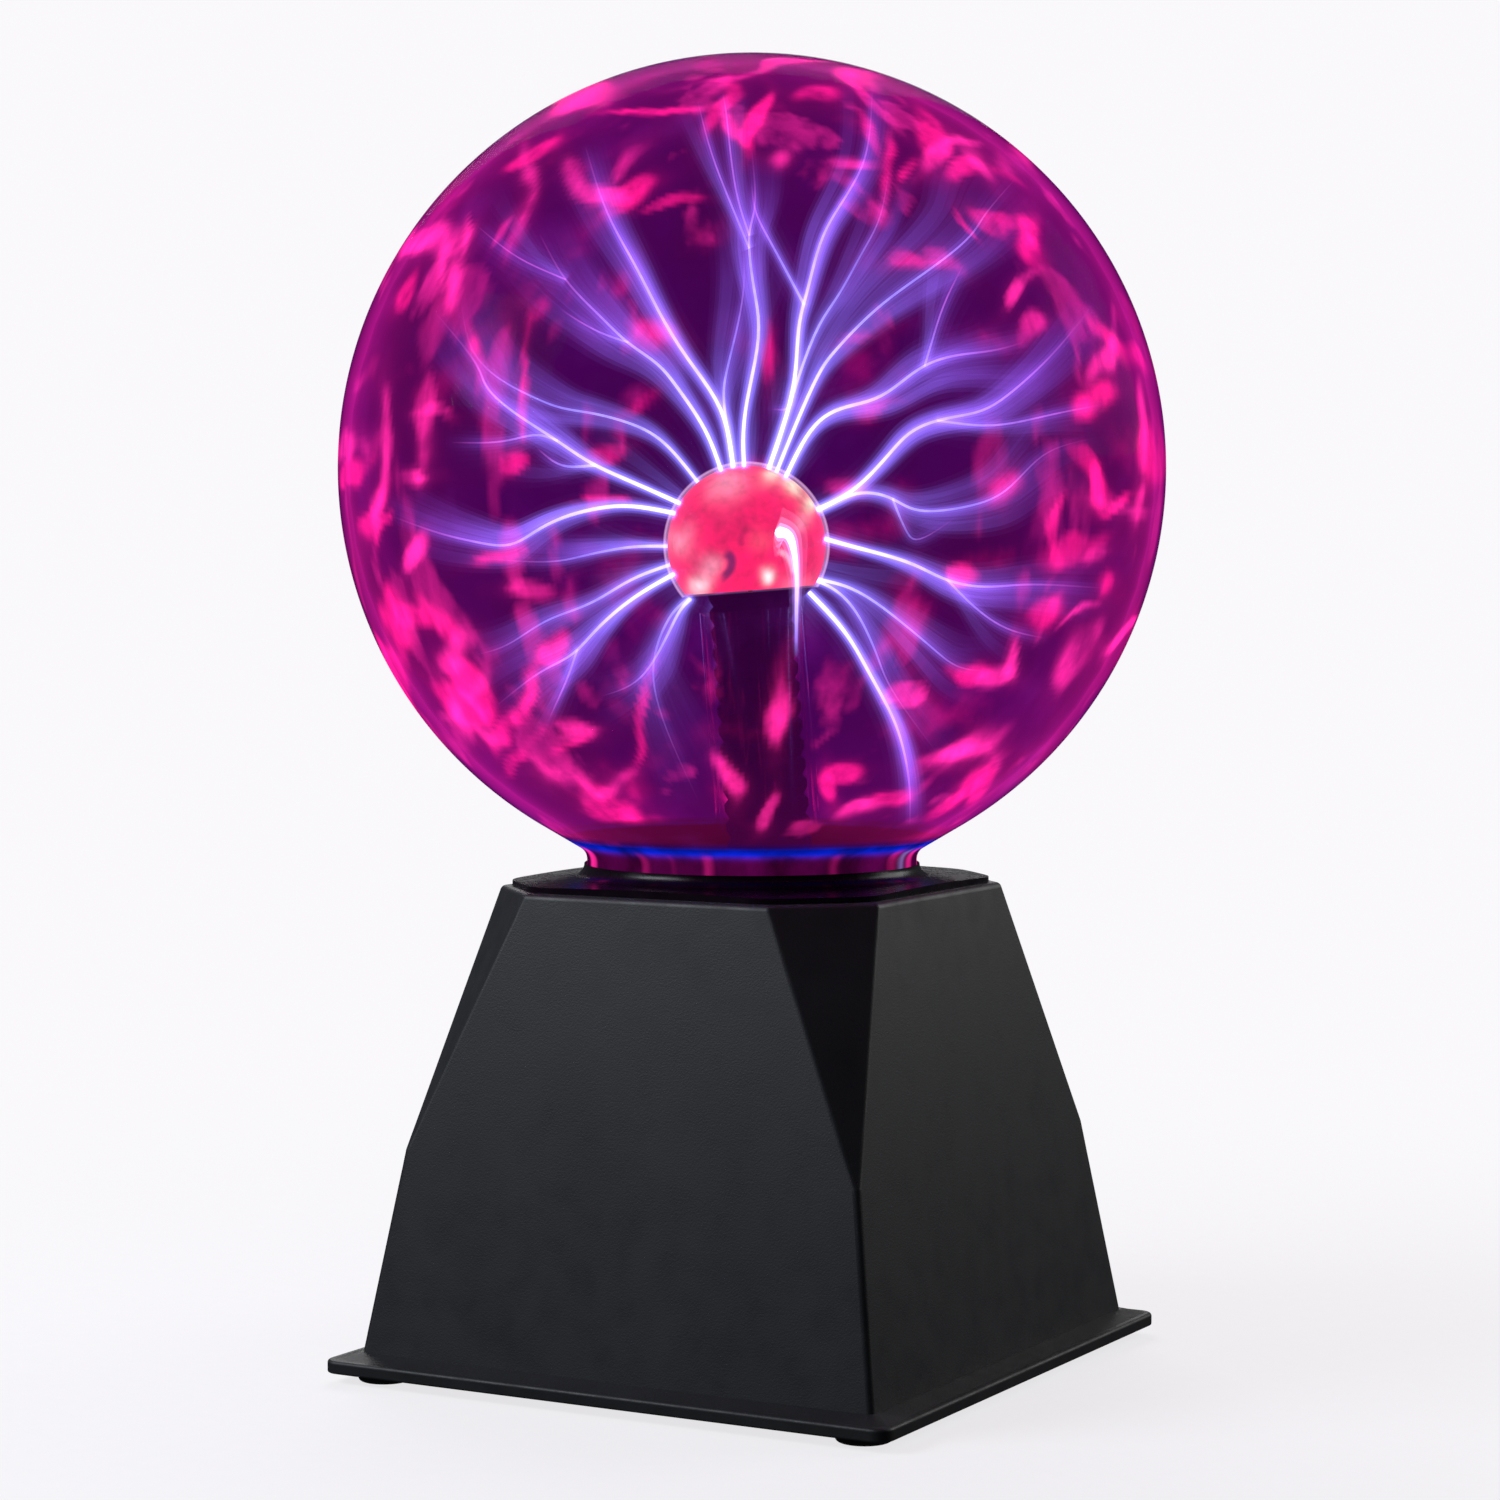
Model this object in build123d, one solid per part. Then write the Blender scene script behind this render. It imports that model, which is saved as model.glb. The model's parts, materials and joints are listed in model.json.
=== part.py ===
from build123d import *
import math
import os

# Plasma ball: a gas-filled glass globe on a square tapered plastic base, mains-adapter fed.
# Millimetres. +Z is up, the origin is on the table under the globe's axis.
# The wide front face looks along -Y; the power switch and the power socket are on the +Y side.

# ---------------------------------------------------------------- driving dimensions
FOOT_HEIGHT = 2.5            # how far the feet hold the base plate off the table
FOOT_DIAMETER = 13.0
FOOT_RECESS = 0.8            # the feet are let into the plate by this much
FOOT_OFFSET = 64.0           # foot centres from both centre planes

PLATE_WIDTH = 150.0
PLATE_LIP = 3.1              # upright edge of the base plate
PLATE_HEIGHT = 4.46          # plate thickness where the housing stands on it
PLATE_CORNER_RADIUS = 4.0
PLATE_TONGUE_HEIGHT = 3.0
PLATE_TONGUE_WIDTH = 1.6
VENT_LENGTH = 26.0           # cooling slots in the plate, in two rows
VENT_WIDTH = 2.6
VENT_PITCH = 7.0
VENT_ROW = 17.0
STANDOFF_RADIUS = 3.4

HOUSING_HEIGHT = 109.2
HOUSING_HALF_BOTTOM = 68.2   # half width where the housing meets the plate
HOUSING_HALF_TOP = 51.4
TOP_FLAT_HALF = 32.4         # half length of the four long edges of the octagonal top
FACET_APEX = 51.7            # height of the lowest point of the triangular corner facets
HOUSING_WALL = 2.6
HOUSING_NECK_GAP = 2.9       # room between the neck and the housing's top, for the gasket
EDGE_RADIUS = 1.6

GLOBE_RADIUS = 100.0
GLOBE_CENTRE = 216.5
GLASS = 2.0                  # globe and neck wall
NECK_RADIUS = 40.2
NECK_BOTTOM = 100.0
NECK_FILLET = 4.0
SHOULDER_RADIUS = 50.5       # where the sphere passes into the straight shoulder above the neck

NECK_SEAL = NECK_BOTTOM - GLASS   # underside of the flare, where it is fused to the neck
FLARE_SHOULDER = 110.0       # where the flare turns into the stem tube
FLARE_HOLLOW_LOW = 90.0
FLARE_MOUTH = 36.0           # outer radii of the flare at the neck and at its shoulder
FLARE_THROAT = 22.0
FLARE_HOLLOW_MOUTH = 33.4    # and the radii of the hollow under it
FLARE_HOLLOW_THROAT = 20.8
FLARE_ROOF = 1.8
TIP_RADIUS = 3.0             # sealed exhaust nipple
TIP_OFFSET = 27.0

STEM_RADIUS = 12.75
STEM_WALL = 1.2
BALL_RADIUS = 20.3
BALL_CENTRE = 198.5
BALL_GLASS = 1.2
LINING = 0.6                 # conductive lining inside the electrode bulb
LEAN = 4.4                   # the hand-set stem stands this many degrees off the axis
LEAN_DIRECTION = 209.0       # compass angle it leans to, counted from +X towards +Y
LEAN_PIVOT = 181.5           # height at which the stem crosses the globe's axis

SLEEVE_RADIUS = 10.25        # ribbed insulating sleeve inside the stem
SLEEVE_BORE = 6.0
SLEEVE_PITCH = 4.7
SLEEVE_GROOVE = 1.0
SLEEVE_BOTTOM = 92.0
CONTACT_RADIUS = 0.6
SLEEVE_TOP = 187.0           # the sleeve reaches up into the bulb, where it shows through the bare glass
LINING_EDGE = 11.0           # the lining stops this far below the bulb's centre
LEAD_RADIUS = 2.0            # the high-voltage lead, and the thin leads to the board
THIN_LEAD_RADIUS = 0.9
LEAD_TOP = 176.5             # where the high-voltage lead's insulation ends and its bare wire begins

GASKET_THICKNESS = 2.4       # rubber ring round the neck
PAD_THICKNESS = 1.5          # rubber pad under the neck
CRADLE_WALL = 2.4
CRADLE_FLOOR = 3.0
CRADLE_GAP = 0.2
CRADLE_OPENING = 34.0        # open middle of the cup that holds the neck

CAP_EDGE = 1.0               # upright edge of the glossy cap
CAP_INSET = 1.6              # the cap's outline inside the housing's top outline
CAP_SLOPE = 1.1
CAP_COVE = 3.0               # radius of the cove that runs up to the neck
CAP_CORNER_RADIUS = 14.0

BOARD_UNDERSIDE = 14.0
BOARD_THICKNESS = 1.6
BOARD_WIDTH = 100.0
BOARD_DEPTH = 84.0
BOARD_SCREW_LENGTH = 7.0

REAR_HEIGHT = 34.0           # height of the switch and the socket
SWITCH_X = 22.0
SOCKET_X = -22.0
ROCKER_STEP = 10.0           # degrees between neighbouring switch positions
PANEL_GAP = 0.3              # how much wider the rear cut-outs are than what sits in them
PANEL_CUT = 12.0

# ---------------------------------------------------------------- derived dimensions
PLATE_BOTTOM = FOOT_HEIGHT
PLATE_TOP = PLATE_BOTTOM + PLATE_HEIGHT
HOUSING_TOP = PLATE_TOP + HOUSING_HEIGHT
TAPER = (HOUSING_HALF_BOTTOM - HOUSING_HALF_TOP) / HOUSING_HEIGHT
FACE_ANGLE = math.atan(TAPER)
INNER_TOP = HOUSING_TOP - HOUSING_WALL
CAP_TOP = HOUSING_TOP + CAP_EDGE + CAP_SLOPE
BOARD_TOP = BOARD_UNDERSIDE + BOARD_THICKNESS
CORNERS = [(-1, -1), (1, -1), (1, 1), (-1, 1)]

# ---------------------------------------------------------------- fasteners
SHANK_RADIUS = 1.25          # screws, and the pilot holes they cut their thread in
CLEARANCE_RADIUS = 1.7       # holes that a screw passes through
PAN_RADIUS = 2.6             # small screws' heads
PAN_HEIGHT = 1.9
BASE_HEAD_RADIUS = 2.9
BASE_HEAD_HEIGHT = 2.0
BASE_HEAD_RECESS = 2.4       # depth and radius of the plate's recesses for the screw heads
BASE_HEAD_CLEARANCE = 3.2
BASE_SCREW_LENGTH = 14.0
BASE_SCREW_OFFSET = 56.5
BASE_BOSS_RADIUS = 4.5
BASE_BOSS_TOP = 30.0
GUSSET_LENGTH = 12.0
GUSSET_THICKNESS = 2.0
NECK_SCREW_RADIUS = 51.0
NECK_SCREW_ANGLES = (45, 135, 225, 315)
NECK_SCREW_LENGTH = 6.4
CAP_BOSS_RADIUS = 3.3
CAP_BOSS_GAP = 0.3
EAR_RADIUS = 4.6
EAR_THICKNESS = 3.0
BOARD_HOLE_INSET = 6.0
BOARD_HOLE_X = BOARD_WIDTH / 2 - BOARD_HOLE_INSET
BOARD_HOLE_Y = BOARD_DEPTH / 2 - BOARD_HOLE_INSET


def half_width(z):
    """Half width of the housing at a height."""
    return HOUSING_HALF_BOTTOM - TAPER * (z - PLATE_TOP)


def rear_plane(x):
    """A plane on the sloping rear face: its z points out of the housing, its y runs up the face."""
    normal = (0, math.cos(FACE_ANGLE), math.sin(FACE_ANGLE))
    return Plane(origin=(x, half_width(REAR_HEIGHT), REAR_HEIGHT), x_dir=(-1, 0, 0), z_dir=normal)


def upright(radius, low, high, x=0.0, y=0.0):
    """A vertical cylinder between two heights."""
    return Pos(x, y, (low + high) / 2) * Cylinder(radius, high - low)


def block(width, depth, low, high, x=0.0, y=0.0):
    """A box between two heights, centred on x and y."""
    return Pos(x, y, (low + high) / 2) * Box(width, depth, high - low)


def turned(points):
    """A solid of revolution about Z from (radius, height) points."""
    profile = Plane.XZ * make_face(Polyline([(r, z) for r, z in points], close=True))
    return revolve(profile, Axis.Z)


def leaned(shape):
    """Tilts a stem piece that was built upright on the globe's axis."""
    angle = math.radians(LEAN_DIRECTION)
    hinge = Axis((0, 0, LEAN_PIVOT), (-math.sin(angle), math.cos(angle), 0))
    return shape.rotate(hinge, LEAN)


def lean_point(z):
    """The point of the leaning stem's axis that started at height z."""
    angle = math.radians(LEAN_DIRECTION)
    out = (z - LEAN_PIVOT) * math.sin(math.radians(LEAN))
    height = LEAN_PIVOT + (z - LEAN_PIVOT) * math.cos(math.radians(LEAN))
    return (out * math.cos(angle), out * math.sin(angle), height)


def pan_screw(head_radius, head_height, shank_radius, length):
    """A pan-head screw: head above z = 0, shank below it, with a cross recess."""
    head = Pos(0, 0, head_height / 2) * Cylinder(head_radius, head_height)
    head = fillet(head.edges().group_by(Axis.Z)[-1], head_height * 0.45)
    recess = Pos(0, 0, head_height) * (Box(head_radius * 1.1, 0.7, 1.4) + Box(0.7, head_radius * 1.1, 1.4))
    return head + Pos(0, 0, -length / 2) * Cylinder(shank_radius, length) - recess


# ---------------------------------------------------------------- base

def housing_block(inset, bottom):
    """The tapered housing with its cut corners, every face but the bottom moved in by inset."""
    side_inset = inset / math.cos(FACE_ANGLE)
    top = HOUSING_TOP - inset
    low = half_width(bottom) - side_inset
    high = half_width(top) - side_inset
    lower = Plane.XY.offset(bottom) * Rectangle(2 * low, 2 * low)
    upper = Plane.XY.offset(top) * Rectangle(2 * high, 2 * high)
    body = loft([lower, upper])
    apex_half = half_width(FACET_APEX)
    rise = (2 * apex_half - HOUSING_HALF_TOP - TOP_FLAT_HALF) / (HOUSING_TOP - FACET_APEX)
    for sx, sy in CORNERS:
        normal = Vector(sx, sy, rise).normalized()
        on_facet = Vector(sx * HOUSING_HALF_TOP, sy * TOP_FLAT_HALF, HOUSING_TOP) - normal * inset
        body = split(body, bisect_by=Plane(origin=on_facet, z_dir=normal), keep=Keep.BOTTOM)
    return body


def make_housing():
    shell = housing_block(0, PLATE_TOP)
    above_plate = [e for e in shell.edges() if e.bounding_box().max.Z > PLATE_TOP + 1]
    shell = fillet(above_plate, EDGE_RADIUS)
    cavity = housing_block(HOUSING_WALL, PLATE_TOP)
    shell = shell - cavity
    for sx, sy in CORNERS:
        x = sx * BASE_SCREW_OFFSET
        y = sy * BASE_SCREW_OFFSET
        gusset_low = PLATE_TOP + PLATE_TONGUE_HEIGHT + 1
        gusset_top = BASE_BOSS_TOP - 1
        boss = upright(BASE_BOSS_RADIUS, PLATE_TOP, BASE_BOSS_TOP, x, y)
        boss += block(GUSSET_LENGTH, GUSSET_THICKNESS, gusset_low, gusset_top, x + sx * GUSSET_LENGTH / 2, y)
        boss += block(GUSSET_THICKNESS, GUSSET_LENGTH, gusset_low, gusset_top, x, y + sy * GUSSET_LENGTH / 2)
        shell += boss & housing_block(HOUSING_WALL / 2, PLATE_TOP)
        shell -= upright(SHANK_RADIUS, PLATE_TOP - 1, BASE_BOSS_TOP - 6, x, y)
    shell -= upright(NECK_RADIUS + HOUSING_NECK_GAP, INNER_TOP - 1, HOUSING_TOP + 1)
    boss_room = CAP_BOSS_RADIUS + CAP_BOSS_GAP
    for angle in NECK_SCREW_ANGLES:
        boss_hole = upright(boss_room, INNER_TOP - 1, HOUSING_TOP + 1, NECK_SCREW_RADIUS)
        shell -= Rot(0, 0, angle) * boss_hole
    shell -= rear_plane(SWITCH_X) * Box(SWITCH_WIDTH + PANEL_GAP, SWITCH_LENGTH + PANEL_GAP, PANEL_CUT)
    shell -= rear_plane(SOCKET_X) * Cylinder(SOCKET_BARREL + PANEL_GAP / 2, PANEL_CUT)
    return shell


def rounded_slab(width, radius, z):
    return Plane.XY.offset(z) * RectangleRounded(width, width, radius)


def make_base_plate():
    lip = extrude(rounded_slab(PLATE_WIDTH, PLATE_CORNER_RADIUS, PLATE_BOTTOM), PLATE_LIP)
    lip = fillet(lip.edges().group_by(Axis.Z)[-1], 0.8)
    lip = fillet(lip.edges().group_by(Axis.Z)[0], 0.5)
    shoulder_foot = rounded_slab(PLATE_WIDTH - 2.0, PLATE_CORNER_RADIUS - 1, PLATE_BOTTOM + PLATE_LIP - 0.2)
    shoulder_top = rounded_slab(2 * HOUSING_HALF_BOTTOM + 1.2, 2.0, PLATE_TOP)
    plate = lip + loft([shoulder_foot, shoulder_top])
    tongue_half = HOUSING_HALF_BOTTOM - HOUSING_WALL - 0.9
    tongue_top = PLATE_TOP + PLATE_TONGUE_HEIGHT
    plate += block(2 * tongue_half, 2 * tongue_half, PLATE_TOP - 0.5, tongue_top)
    hollow = 2 * (tongue_half - PLATE_TONGUE_WIDTH)
    plate -= block(hollow, hollow, PLATE_TOP, tongue_top + 1)
    for sx, sy in CORNERS:
        hole_x = sx * BOARD_HOLE_X
        hole_y = sy * BOARD_HOLE_Y
        plate += upright(STANDOFF_RADIUS, PLATE_TOP - 0.5, BOARD_UNDERSIDE, hole_x, hole_y)
        plate -= upright(SHANK_RADIUS, PLATE_TOP, BOARD_UNDERSIDE + 1, hole_x, hole_y)
        foot_x = sx * FOOT_OFFSET
        foot_y = sy * FOOT_OFFSET
        plate -= upright(FOOT_DIAMETER / 2, PLATE_BOTTOM - 1, PLATE_BOTTOM + FOOT_RECESS, foot_x, foot_y)
        screw_x = sx * BASE_SCREW_OFFSET
        screw_y = sy * BASE_SCREW_OFFSET
        plate -= upright(CLEARANCE_RADIUS, PLATE_BOTTOM - 1, PLATE_TOP + 1, screw_x, screw_y)
        head_top = PLATE_BOTTOM + BASE_HEAD_RECESS
        plate -= upright(BASE_HEAD_CLEARANCE, PLATE_BOTTOM - 1, head_top, screw_x, screw_y)
    slot = SlotOverall(VENT_LENGTH, VENT_WIDTH, rotation=90)
    below = Plane.XY.offset(PLATE_BOTTOM - 1)
    for row in (-1, 1):
        for i in range(-3, 4):
            vent = below * Pos(i * VENT_PITCH, row * VENT_ROW) * slot
            plate -= extrude(vent, PLATE_HEIGHT + 2)
    return plate


def make_feet():
    feet = []
    for sx, sy in CORNERS:
        foot = upright(FOOT_DIAMETER / 2, 0, FOOT_HEIGHT + FOOT_RECESS)
        foot = fillet(foot.edges().group_by(Axis.Z)[0], 0.9)
        feet.append(Pos(sx * FOOT_OFFSET, sy * FOOT_OFFSET, 0) * foot)
    return feet


def make_base_screws():
    screw = Rot(180, 0, 0) * pan_screw(BASE_HEAD_RADIUS, BASE_HEAD_HEIGHT, SHANK_RADIUS, BASE_SCREW_LENGTH)
    head_seat = PLATE_BOTTOM + BASE_HEAD_RECESS
    return [Pos(sx * BASE_SCREW_OFFSET, sy * BASE_SCREW_OFFSET, head_seat) * screw for sx, sy in CORNERS]


def make_cap():
    """Glossy octagonal cap, nearly flat, with a cove that runs up round the glass neck."""
    half = HOUSING_HALF_TOP - CAP_INSET
    flat = TOP_FLAT_HALF - CAP_INSET * 0.4
    outline = [(half, -flat), (half, flat), (flat, half), (-flat, half)]
    outline += [(-half, flat), (-half, -flat), (-flat, -half), (flat, -half)]
    prism = extrude(Plane.XY.offset(HOUSING_TOP) * make_face(Polyline(outline, close=True)), 12)
    prism = fillet(prism.edges().filter_by(Axis.Z), CAP_CORNER_RADIUS)
    bore = NECK_RADIUS + 0.15
    cove_foot = bore + CAP_COVE + 0.4
    rim = HOUSING_HALF_TOP * 1.25
    with_cove = Line((bore, HOUSING_TOP), (rim, HOUSING_TOP))
    with_cove += Line((rim, HOUSING_TOP), (rim, HOUSING_TOP + CAP_EDGE))
    with_cove += Line((rim, HOUSING_TOP + CAP_EDGE), (cove_foot, CAP_TOP))
    with_cove += RadiusArc((cove_foot, CAP_TOP), (bore + 0.4, CAP_TOP + CAP_COVE), CAP_COVE)
    with_cove += Line((bore + 0.4, CAP_TOP + CAP_COVE), (bore, CAP_TOP + CAP_COVE))
    with_cove += Line((bore, CAP_TOP + CAP_COVE), (bore, HOUSING_TOP))
    form = revolve(Plane.XZ * make_face(with_cove), Axis.Z)
    cap = form & prism
    for angle in NECK_SCREW_ANGLES:
        boss = upright(CAP_BOSS_RADIUS, INNER_TOP, HOUSING_TOP + 0.5, NECK_SCREW_RADIUS)
        hole = upright(SHANK_RADIUS, INNER_TOP - 1, HOUSING_TOP + 1.0, NECK_SCREW_RADIUS)
        cap = cap + Rot(0, 0, angle) * boss - Rot(0, 0, angle) * hole
    return cap


# ---------------------------------------------------------------- globe and stem

def globe_profile(radius, neck, shoulder, fillet_radius):
    """Points and arcs of one surface of the globe, from the pole to the end of the neck."""
    drop = math.sqrt(radius ** 2 - shoulder ** 2)
    tangent = Vector(-drop, -shoulder).normalized()
    start = Vector(shoulder, GLOBE_CENTRE - drop)
    reach = (neck - start.X) / tangent.X
    corner = start + tangent * reach
    turn = math.atan2(-tangent.X, -tangent.Y)
    back = fillet_radius * math.tan(turn / 2)
    fillet_in = corner - tangent * back
    fillet_out = Vector(neck, corner.Y - back)
    side = Vector(radius, GLOBE_CENTRE)
    lines = ThreePointArc((0, GLOBE_CENTRE + radius), side, start)
    lines += Line(start, fillet_in)
    bisector = Vector(neck + fillet_radius, corner.Y - back)
    middle = bisector + Vector(math.cos(math.pi - turn / 2), math.sin(math.pi - turn / 2)) * fillet_radius
    lines += ThreePointArc(fillet_in, middle, fillet_out)
    lines += Line(fillet_out, (neck, NECK_BOTTOM))
    return lines


def make_globe():
    outer = globe_profile(GLOBE_RADIUS, NECK_RADIUS, SHOULDER_RADIUS, NECK_FILLET)
    inner_radius = GLOBE_RADIUS - GLASS
    inner = globe_profile(inner_radius, NECK_RADIUS - GLASS, SHOULDER_RADIUS - 1, NECK_FILLET + GLASS)
    ends = Line((0, GLOBE_CENTRE + GLOBE_RADIUS), (0, GLOBE_CENTRE + inner_radius))
    ends += Line((NECK_RADIUS, NECK_BOTTOM), (NECK_RADIUS - GLASS, NECK_BOTTOM))
    return revolve(Plane.XZ * make_face(outer + inner + ends), Axis.Z)


def ball(radius):
    return Pos(0, 0, BALL_CENTRE) * Sphere(radius)


def flare_hollow():
    """The open space under the flare, down past the end of the neck."""
    roof = FLARE_SHOULDER - FLARE_ROOF
    return turned([(0, FLARE_HOLLOW_LOW), (FLARE_HOLLOW_MOUTH, FLARE_HOLLOW_LOW),
                   (FLARE_HOLLOW_MOUTH, NECK_SEAL), (FLARE_HOLLOW_THROAT, roof), (0, roof)])


def make_stem():
    """Re-entrant glass: a flare that closes the neck, and the tube that carries the electrode."""
    flare = turned([(0, NECK_SEAL), (NECK_RADIUS, NECK_SEAL), (NECK_RADIUS, NECK_BOTTOM),
                    (FLARE_MOUTH, NECK_BOTTOM), (FLARE_THROAT, FLARE_SHOULDER), (0, FLARE_SHOULDER)])
    tube = leaned(upright(STEM_RADIUS, NECK_BOTTOM + GLASS, BALL_CENTRE) - ball(BALL_RADIUS))
    bore = leaned(upright(STEM_RADIUS - STEM_WALL, FLARE_HOLLOW_LOW, BALL_CENTRE))
    return flare + tube - flare_hollow() - bore


def make_bulb():
    shell = ball(BALL_RADIUS) - ball(BALL_RADIUS - BALL_GLASS)
    mouth = upright(STEM_RADIUS - STEM_WALL, BALL_CENTRE - BALL_RADIUS - 1, BALL_CENTRE)
    return leaned(shell - mouth)


def make_lining():
    """Conductive lining of the bulb. It stops above the stem's mouth, where the glass is left bare."""
    outer = BALL_RADIUS - BALL_GLASS
    shell = ball(outer) - ball(outer - LINING)
    return leaned(shell - upright(BALL_RADIUS, BALL_CENTRE - BALL_RADIUS, BALL_CENTRE - LINING_EDGE))


def make_sleeve():
    """Insulating sleeve with sawtooth ribs, open along its middle for the high-voltage lead."""
    points = [(SLEEVE_BORE, SLEEVE_BOTTOM)]
    z = SLEEVE_BOTTOM
    while z + SLEEVE_PITCH < SLEEVE_TOP:
        points.append((SLEEVE_RADIUS, z))
        points.append((SLEEVE_RADIUS, z + 0.35 * SLEEVE_PITCH))
        points.append((SLEEVE_RADIUS - SLEEVE_GROOVE, z + 0.6 * SLEEVE_PITCH))
        z += SLEEVE_PITCH
    points.append((SLEEVE_RADIUS, z))
    points.append((SLEEVE_RADIUS, SLEEVE_TOP))
    points.append((SLEEVE_BORE, SLEEVE_TOP))
    return leaned(turned(points))


def make_exhaust_tip():
    """Sealed glass nipple left where the globe was pumped and filled."""
    nipple = upright(TIP_RADIUS, FLARE_HOLLOW_LOW, FLARE_SHOULDER, -TIP_OFFSET)
    nipple = fillet(nipple.edges().group_by(Axis.Z)[0], TIP_RADIUS - 0.4)
    return nipple & flare_hollow()


def make_gasket():
    ring = upright(NECK_RADIUS + GASKET_THICKNESS, NECK_BOTTOM, HOUSING_TOP)
    return ring - upright(NECK_RADIUS, NECK_BOTTOM - 1, HOUSING_TOP + 1)


def make_neck_pad():
    pad = upright(NECK_RADIUS + GASKET_THICKNESS - CRADLE_GAP, NECK_SEAL - PAD_THICKNESS, NECK_SEAL)
    return pad - upright(CRADLE_OPENING, NECK_SEAL - 2, NECK_SEAL + 1)


def make_cradle():
    """Cup that holds the neck up against the top of the housing, screwed through four ears."""
    floor = NECK_SEAL - PAD_THICKNESS
    inner = NECK_RADIUS + GASKET_THICKNESS + CRADLE_GAP
    outer = inner + CRADLE_WALL
    cup = upright(outer, floor - CRADLE_FLOOR, INNER_TOP) - upright(inner, floor, INNER_TOP + 1)
    cup -= upright(CRADLE_OPENING, floor - CRADLE_FLOOR - 1, floor + 1)
    ear_low = INNER_TOP - EAR_THICKNESS
    reach = NECK_SCREW_RADIUS - inner
    for angle in NECK_SCREW_ANGLES:
        ear = upright(EAR_RADIUS, ear_low, INNER_TOP, NECK_SCREW_RADIUS)
        ear += block(reach, 2 * EAR_RADIUS, ear_low, INNER_TOP, inner + reach / 2)
        ear -= upright(inner, ear_low - 1, INNER_TOP + 1)
        hole = upright(CLEARANCE_RADIUS, ear_low - 1, INNER_TOP + 1, NECK_SCREW_RADIUS)
        cup += Rot(0, 0, angle) * ear
        cup -= Rot(0, 0, angle) * hole
    return cup


def make_neck_screws():
    screw = Rot(180, 0, 0) * pan_screw(PAN_RADIUS, PAN_HEIGHT, SHANK_RADIUS, NECK_SCREW_LENGTH)
    seat = INNER_TOP - EAR_THICKNESS
    return [Rot(0, 0, a) * Pos(NECK_SCREW_RADIUS, 0, seat) * screw for a in NECK_SCREW_ANGLES]


# ---------------------------------------------------------------- electronics

LEG_WIDTH = 11.0             # section of the ferrite core's legs
LEG_DEPTH = 14.0
CORE_WIDTH = 46.0
CORE_HEIGHT = 50.0
CORE_X = -14.0
CORE_Y = 8.0
CORE_BOTTOM = BOARD_TOP + 2.0
COIL_LEG_X = CORE_X - CORE_WIDTH / 2 + LEG_WIDTH / 2
PRIMARY_LEG_X = CORE_X + CORE_WIDTH / 2 - LEG_WIDTH / 2
COIL_RADIUS = 16.0
PRIMARY_RADIUS = 10.4
SADDLE_WALL = 3.0
SADDLE_HEIGHT = 6.0
COIL_LOW = CORE_BOTTOM + LEG_WIDTH + 0.5
COIL_HIGH = CORE_BOTTOM + CORE_HEIGHT - LEG_WIDTH - 0.5
SINK_X = 34.0
SINK_Y = 10.0
SINK_WIDTH = 40.0
SINK_HEIGHT = 32.0
SINK_WALL = 3.0
FIN_COUNT = 6
FIN_LENGTH = 12.0
FIN_THICKNESS = 1.6
TRANSISTOR_WIDTH = 10.2
TRANSISTOR_SCREW_HEIGHT = 21.0
TRANSISTOR_SCREW_LENGTH = 5.0
TAB_THICKNESS = 1.3
PIN_PITCH = 2.54             # spacing of the transistor's and the chip's pins
CAPACITOR_RADIUS = 6.3
CAPACITOR_HEIGHT = 20.0
CAPACITOR_Y = -26.0
FILM_SIZE = (18.0, 8.0, 13.0)
FILM_Y = -28.0
CHIP_X = -2.0
CHIP_Y = -14.0
CHIP_WIDTH = 9.8
CHIP_DEPTH = 6.4
RESISTOR_RADIUS = 1.5
RESISTOR_LENGTH = 7.0
RESISTOR_LEAD = 0.35
RESISTOR_SPAN = 5.3          # from the middle to where a lead bends down
RESISTOR_X = -40.0
RESISTOR_Y = -12.0
MICROPHONE_X = 43.0
MICROPHONE_Y = -20.0


def make_board():
    board = block(BOARD_WIDTH, BOARD_DEPTH, BOARD_UNDERSIDE, BOARD_TOP)
    for sx, sy in CORNERS:
        hole_x = sx * BOARD_HOLE_X
        hole_y = sy * BOARD_HOLE_Y
        board -= upright(CLEARANCE_RADIUS, BOARD_UNDERSIDE - 1, BOARD_TOP + 1, hole_x, hole_y)
    return board


def make_board_screws():
    screw = pan_screw(PAN_RADIUS, PAN_HEIGHT, SHANK_RADIUS, BOARD_SCREW_LENGTH)
    return [Pos(sx * BOARD_HOLE_X, sy * BOARD_HOLE_Y, BOARD_TOP) * screw for sx, sy in CORNERS]


def make_core():
    core = block(CORE_WIDTH, LEG_DEPTH, CORE_BOTTOM, CORE_BOTTOM + CORE_HEIGHT, CORE_X, CORE_Y)
    window_low = CORE_BOTTOM + LEG_WIDTH
    window_high = CORE_BOTTOM + CORE_HEIGHT - LEG_WIDTH
    return core - block(CORE_WIDTH - 2 * LEG_WIDTH, LEG_DEPTH + 2, window_low, window_high, CORE_X, CORE_Y)


def make_core_mount():
    """Plastic saddle that holds the core on the board."""
    width = CORE_WIDTH + 2 * SADDLE_WALL
    depth = LEG_DEPTH + 2 * SADDLE_WALL
    top = CORE_BOTTOM + SADDLE_HEIGHT
    saddle = block(width, depth, BOARD_TOP, top, CORE_X, CORE_Y)
    return saddle - block(CORE_WIDTH, LEG_DEPTH, CORE_BOTTOM, top + 1, CORE_X, CORE_Y)


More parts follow.
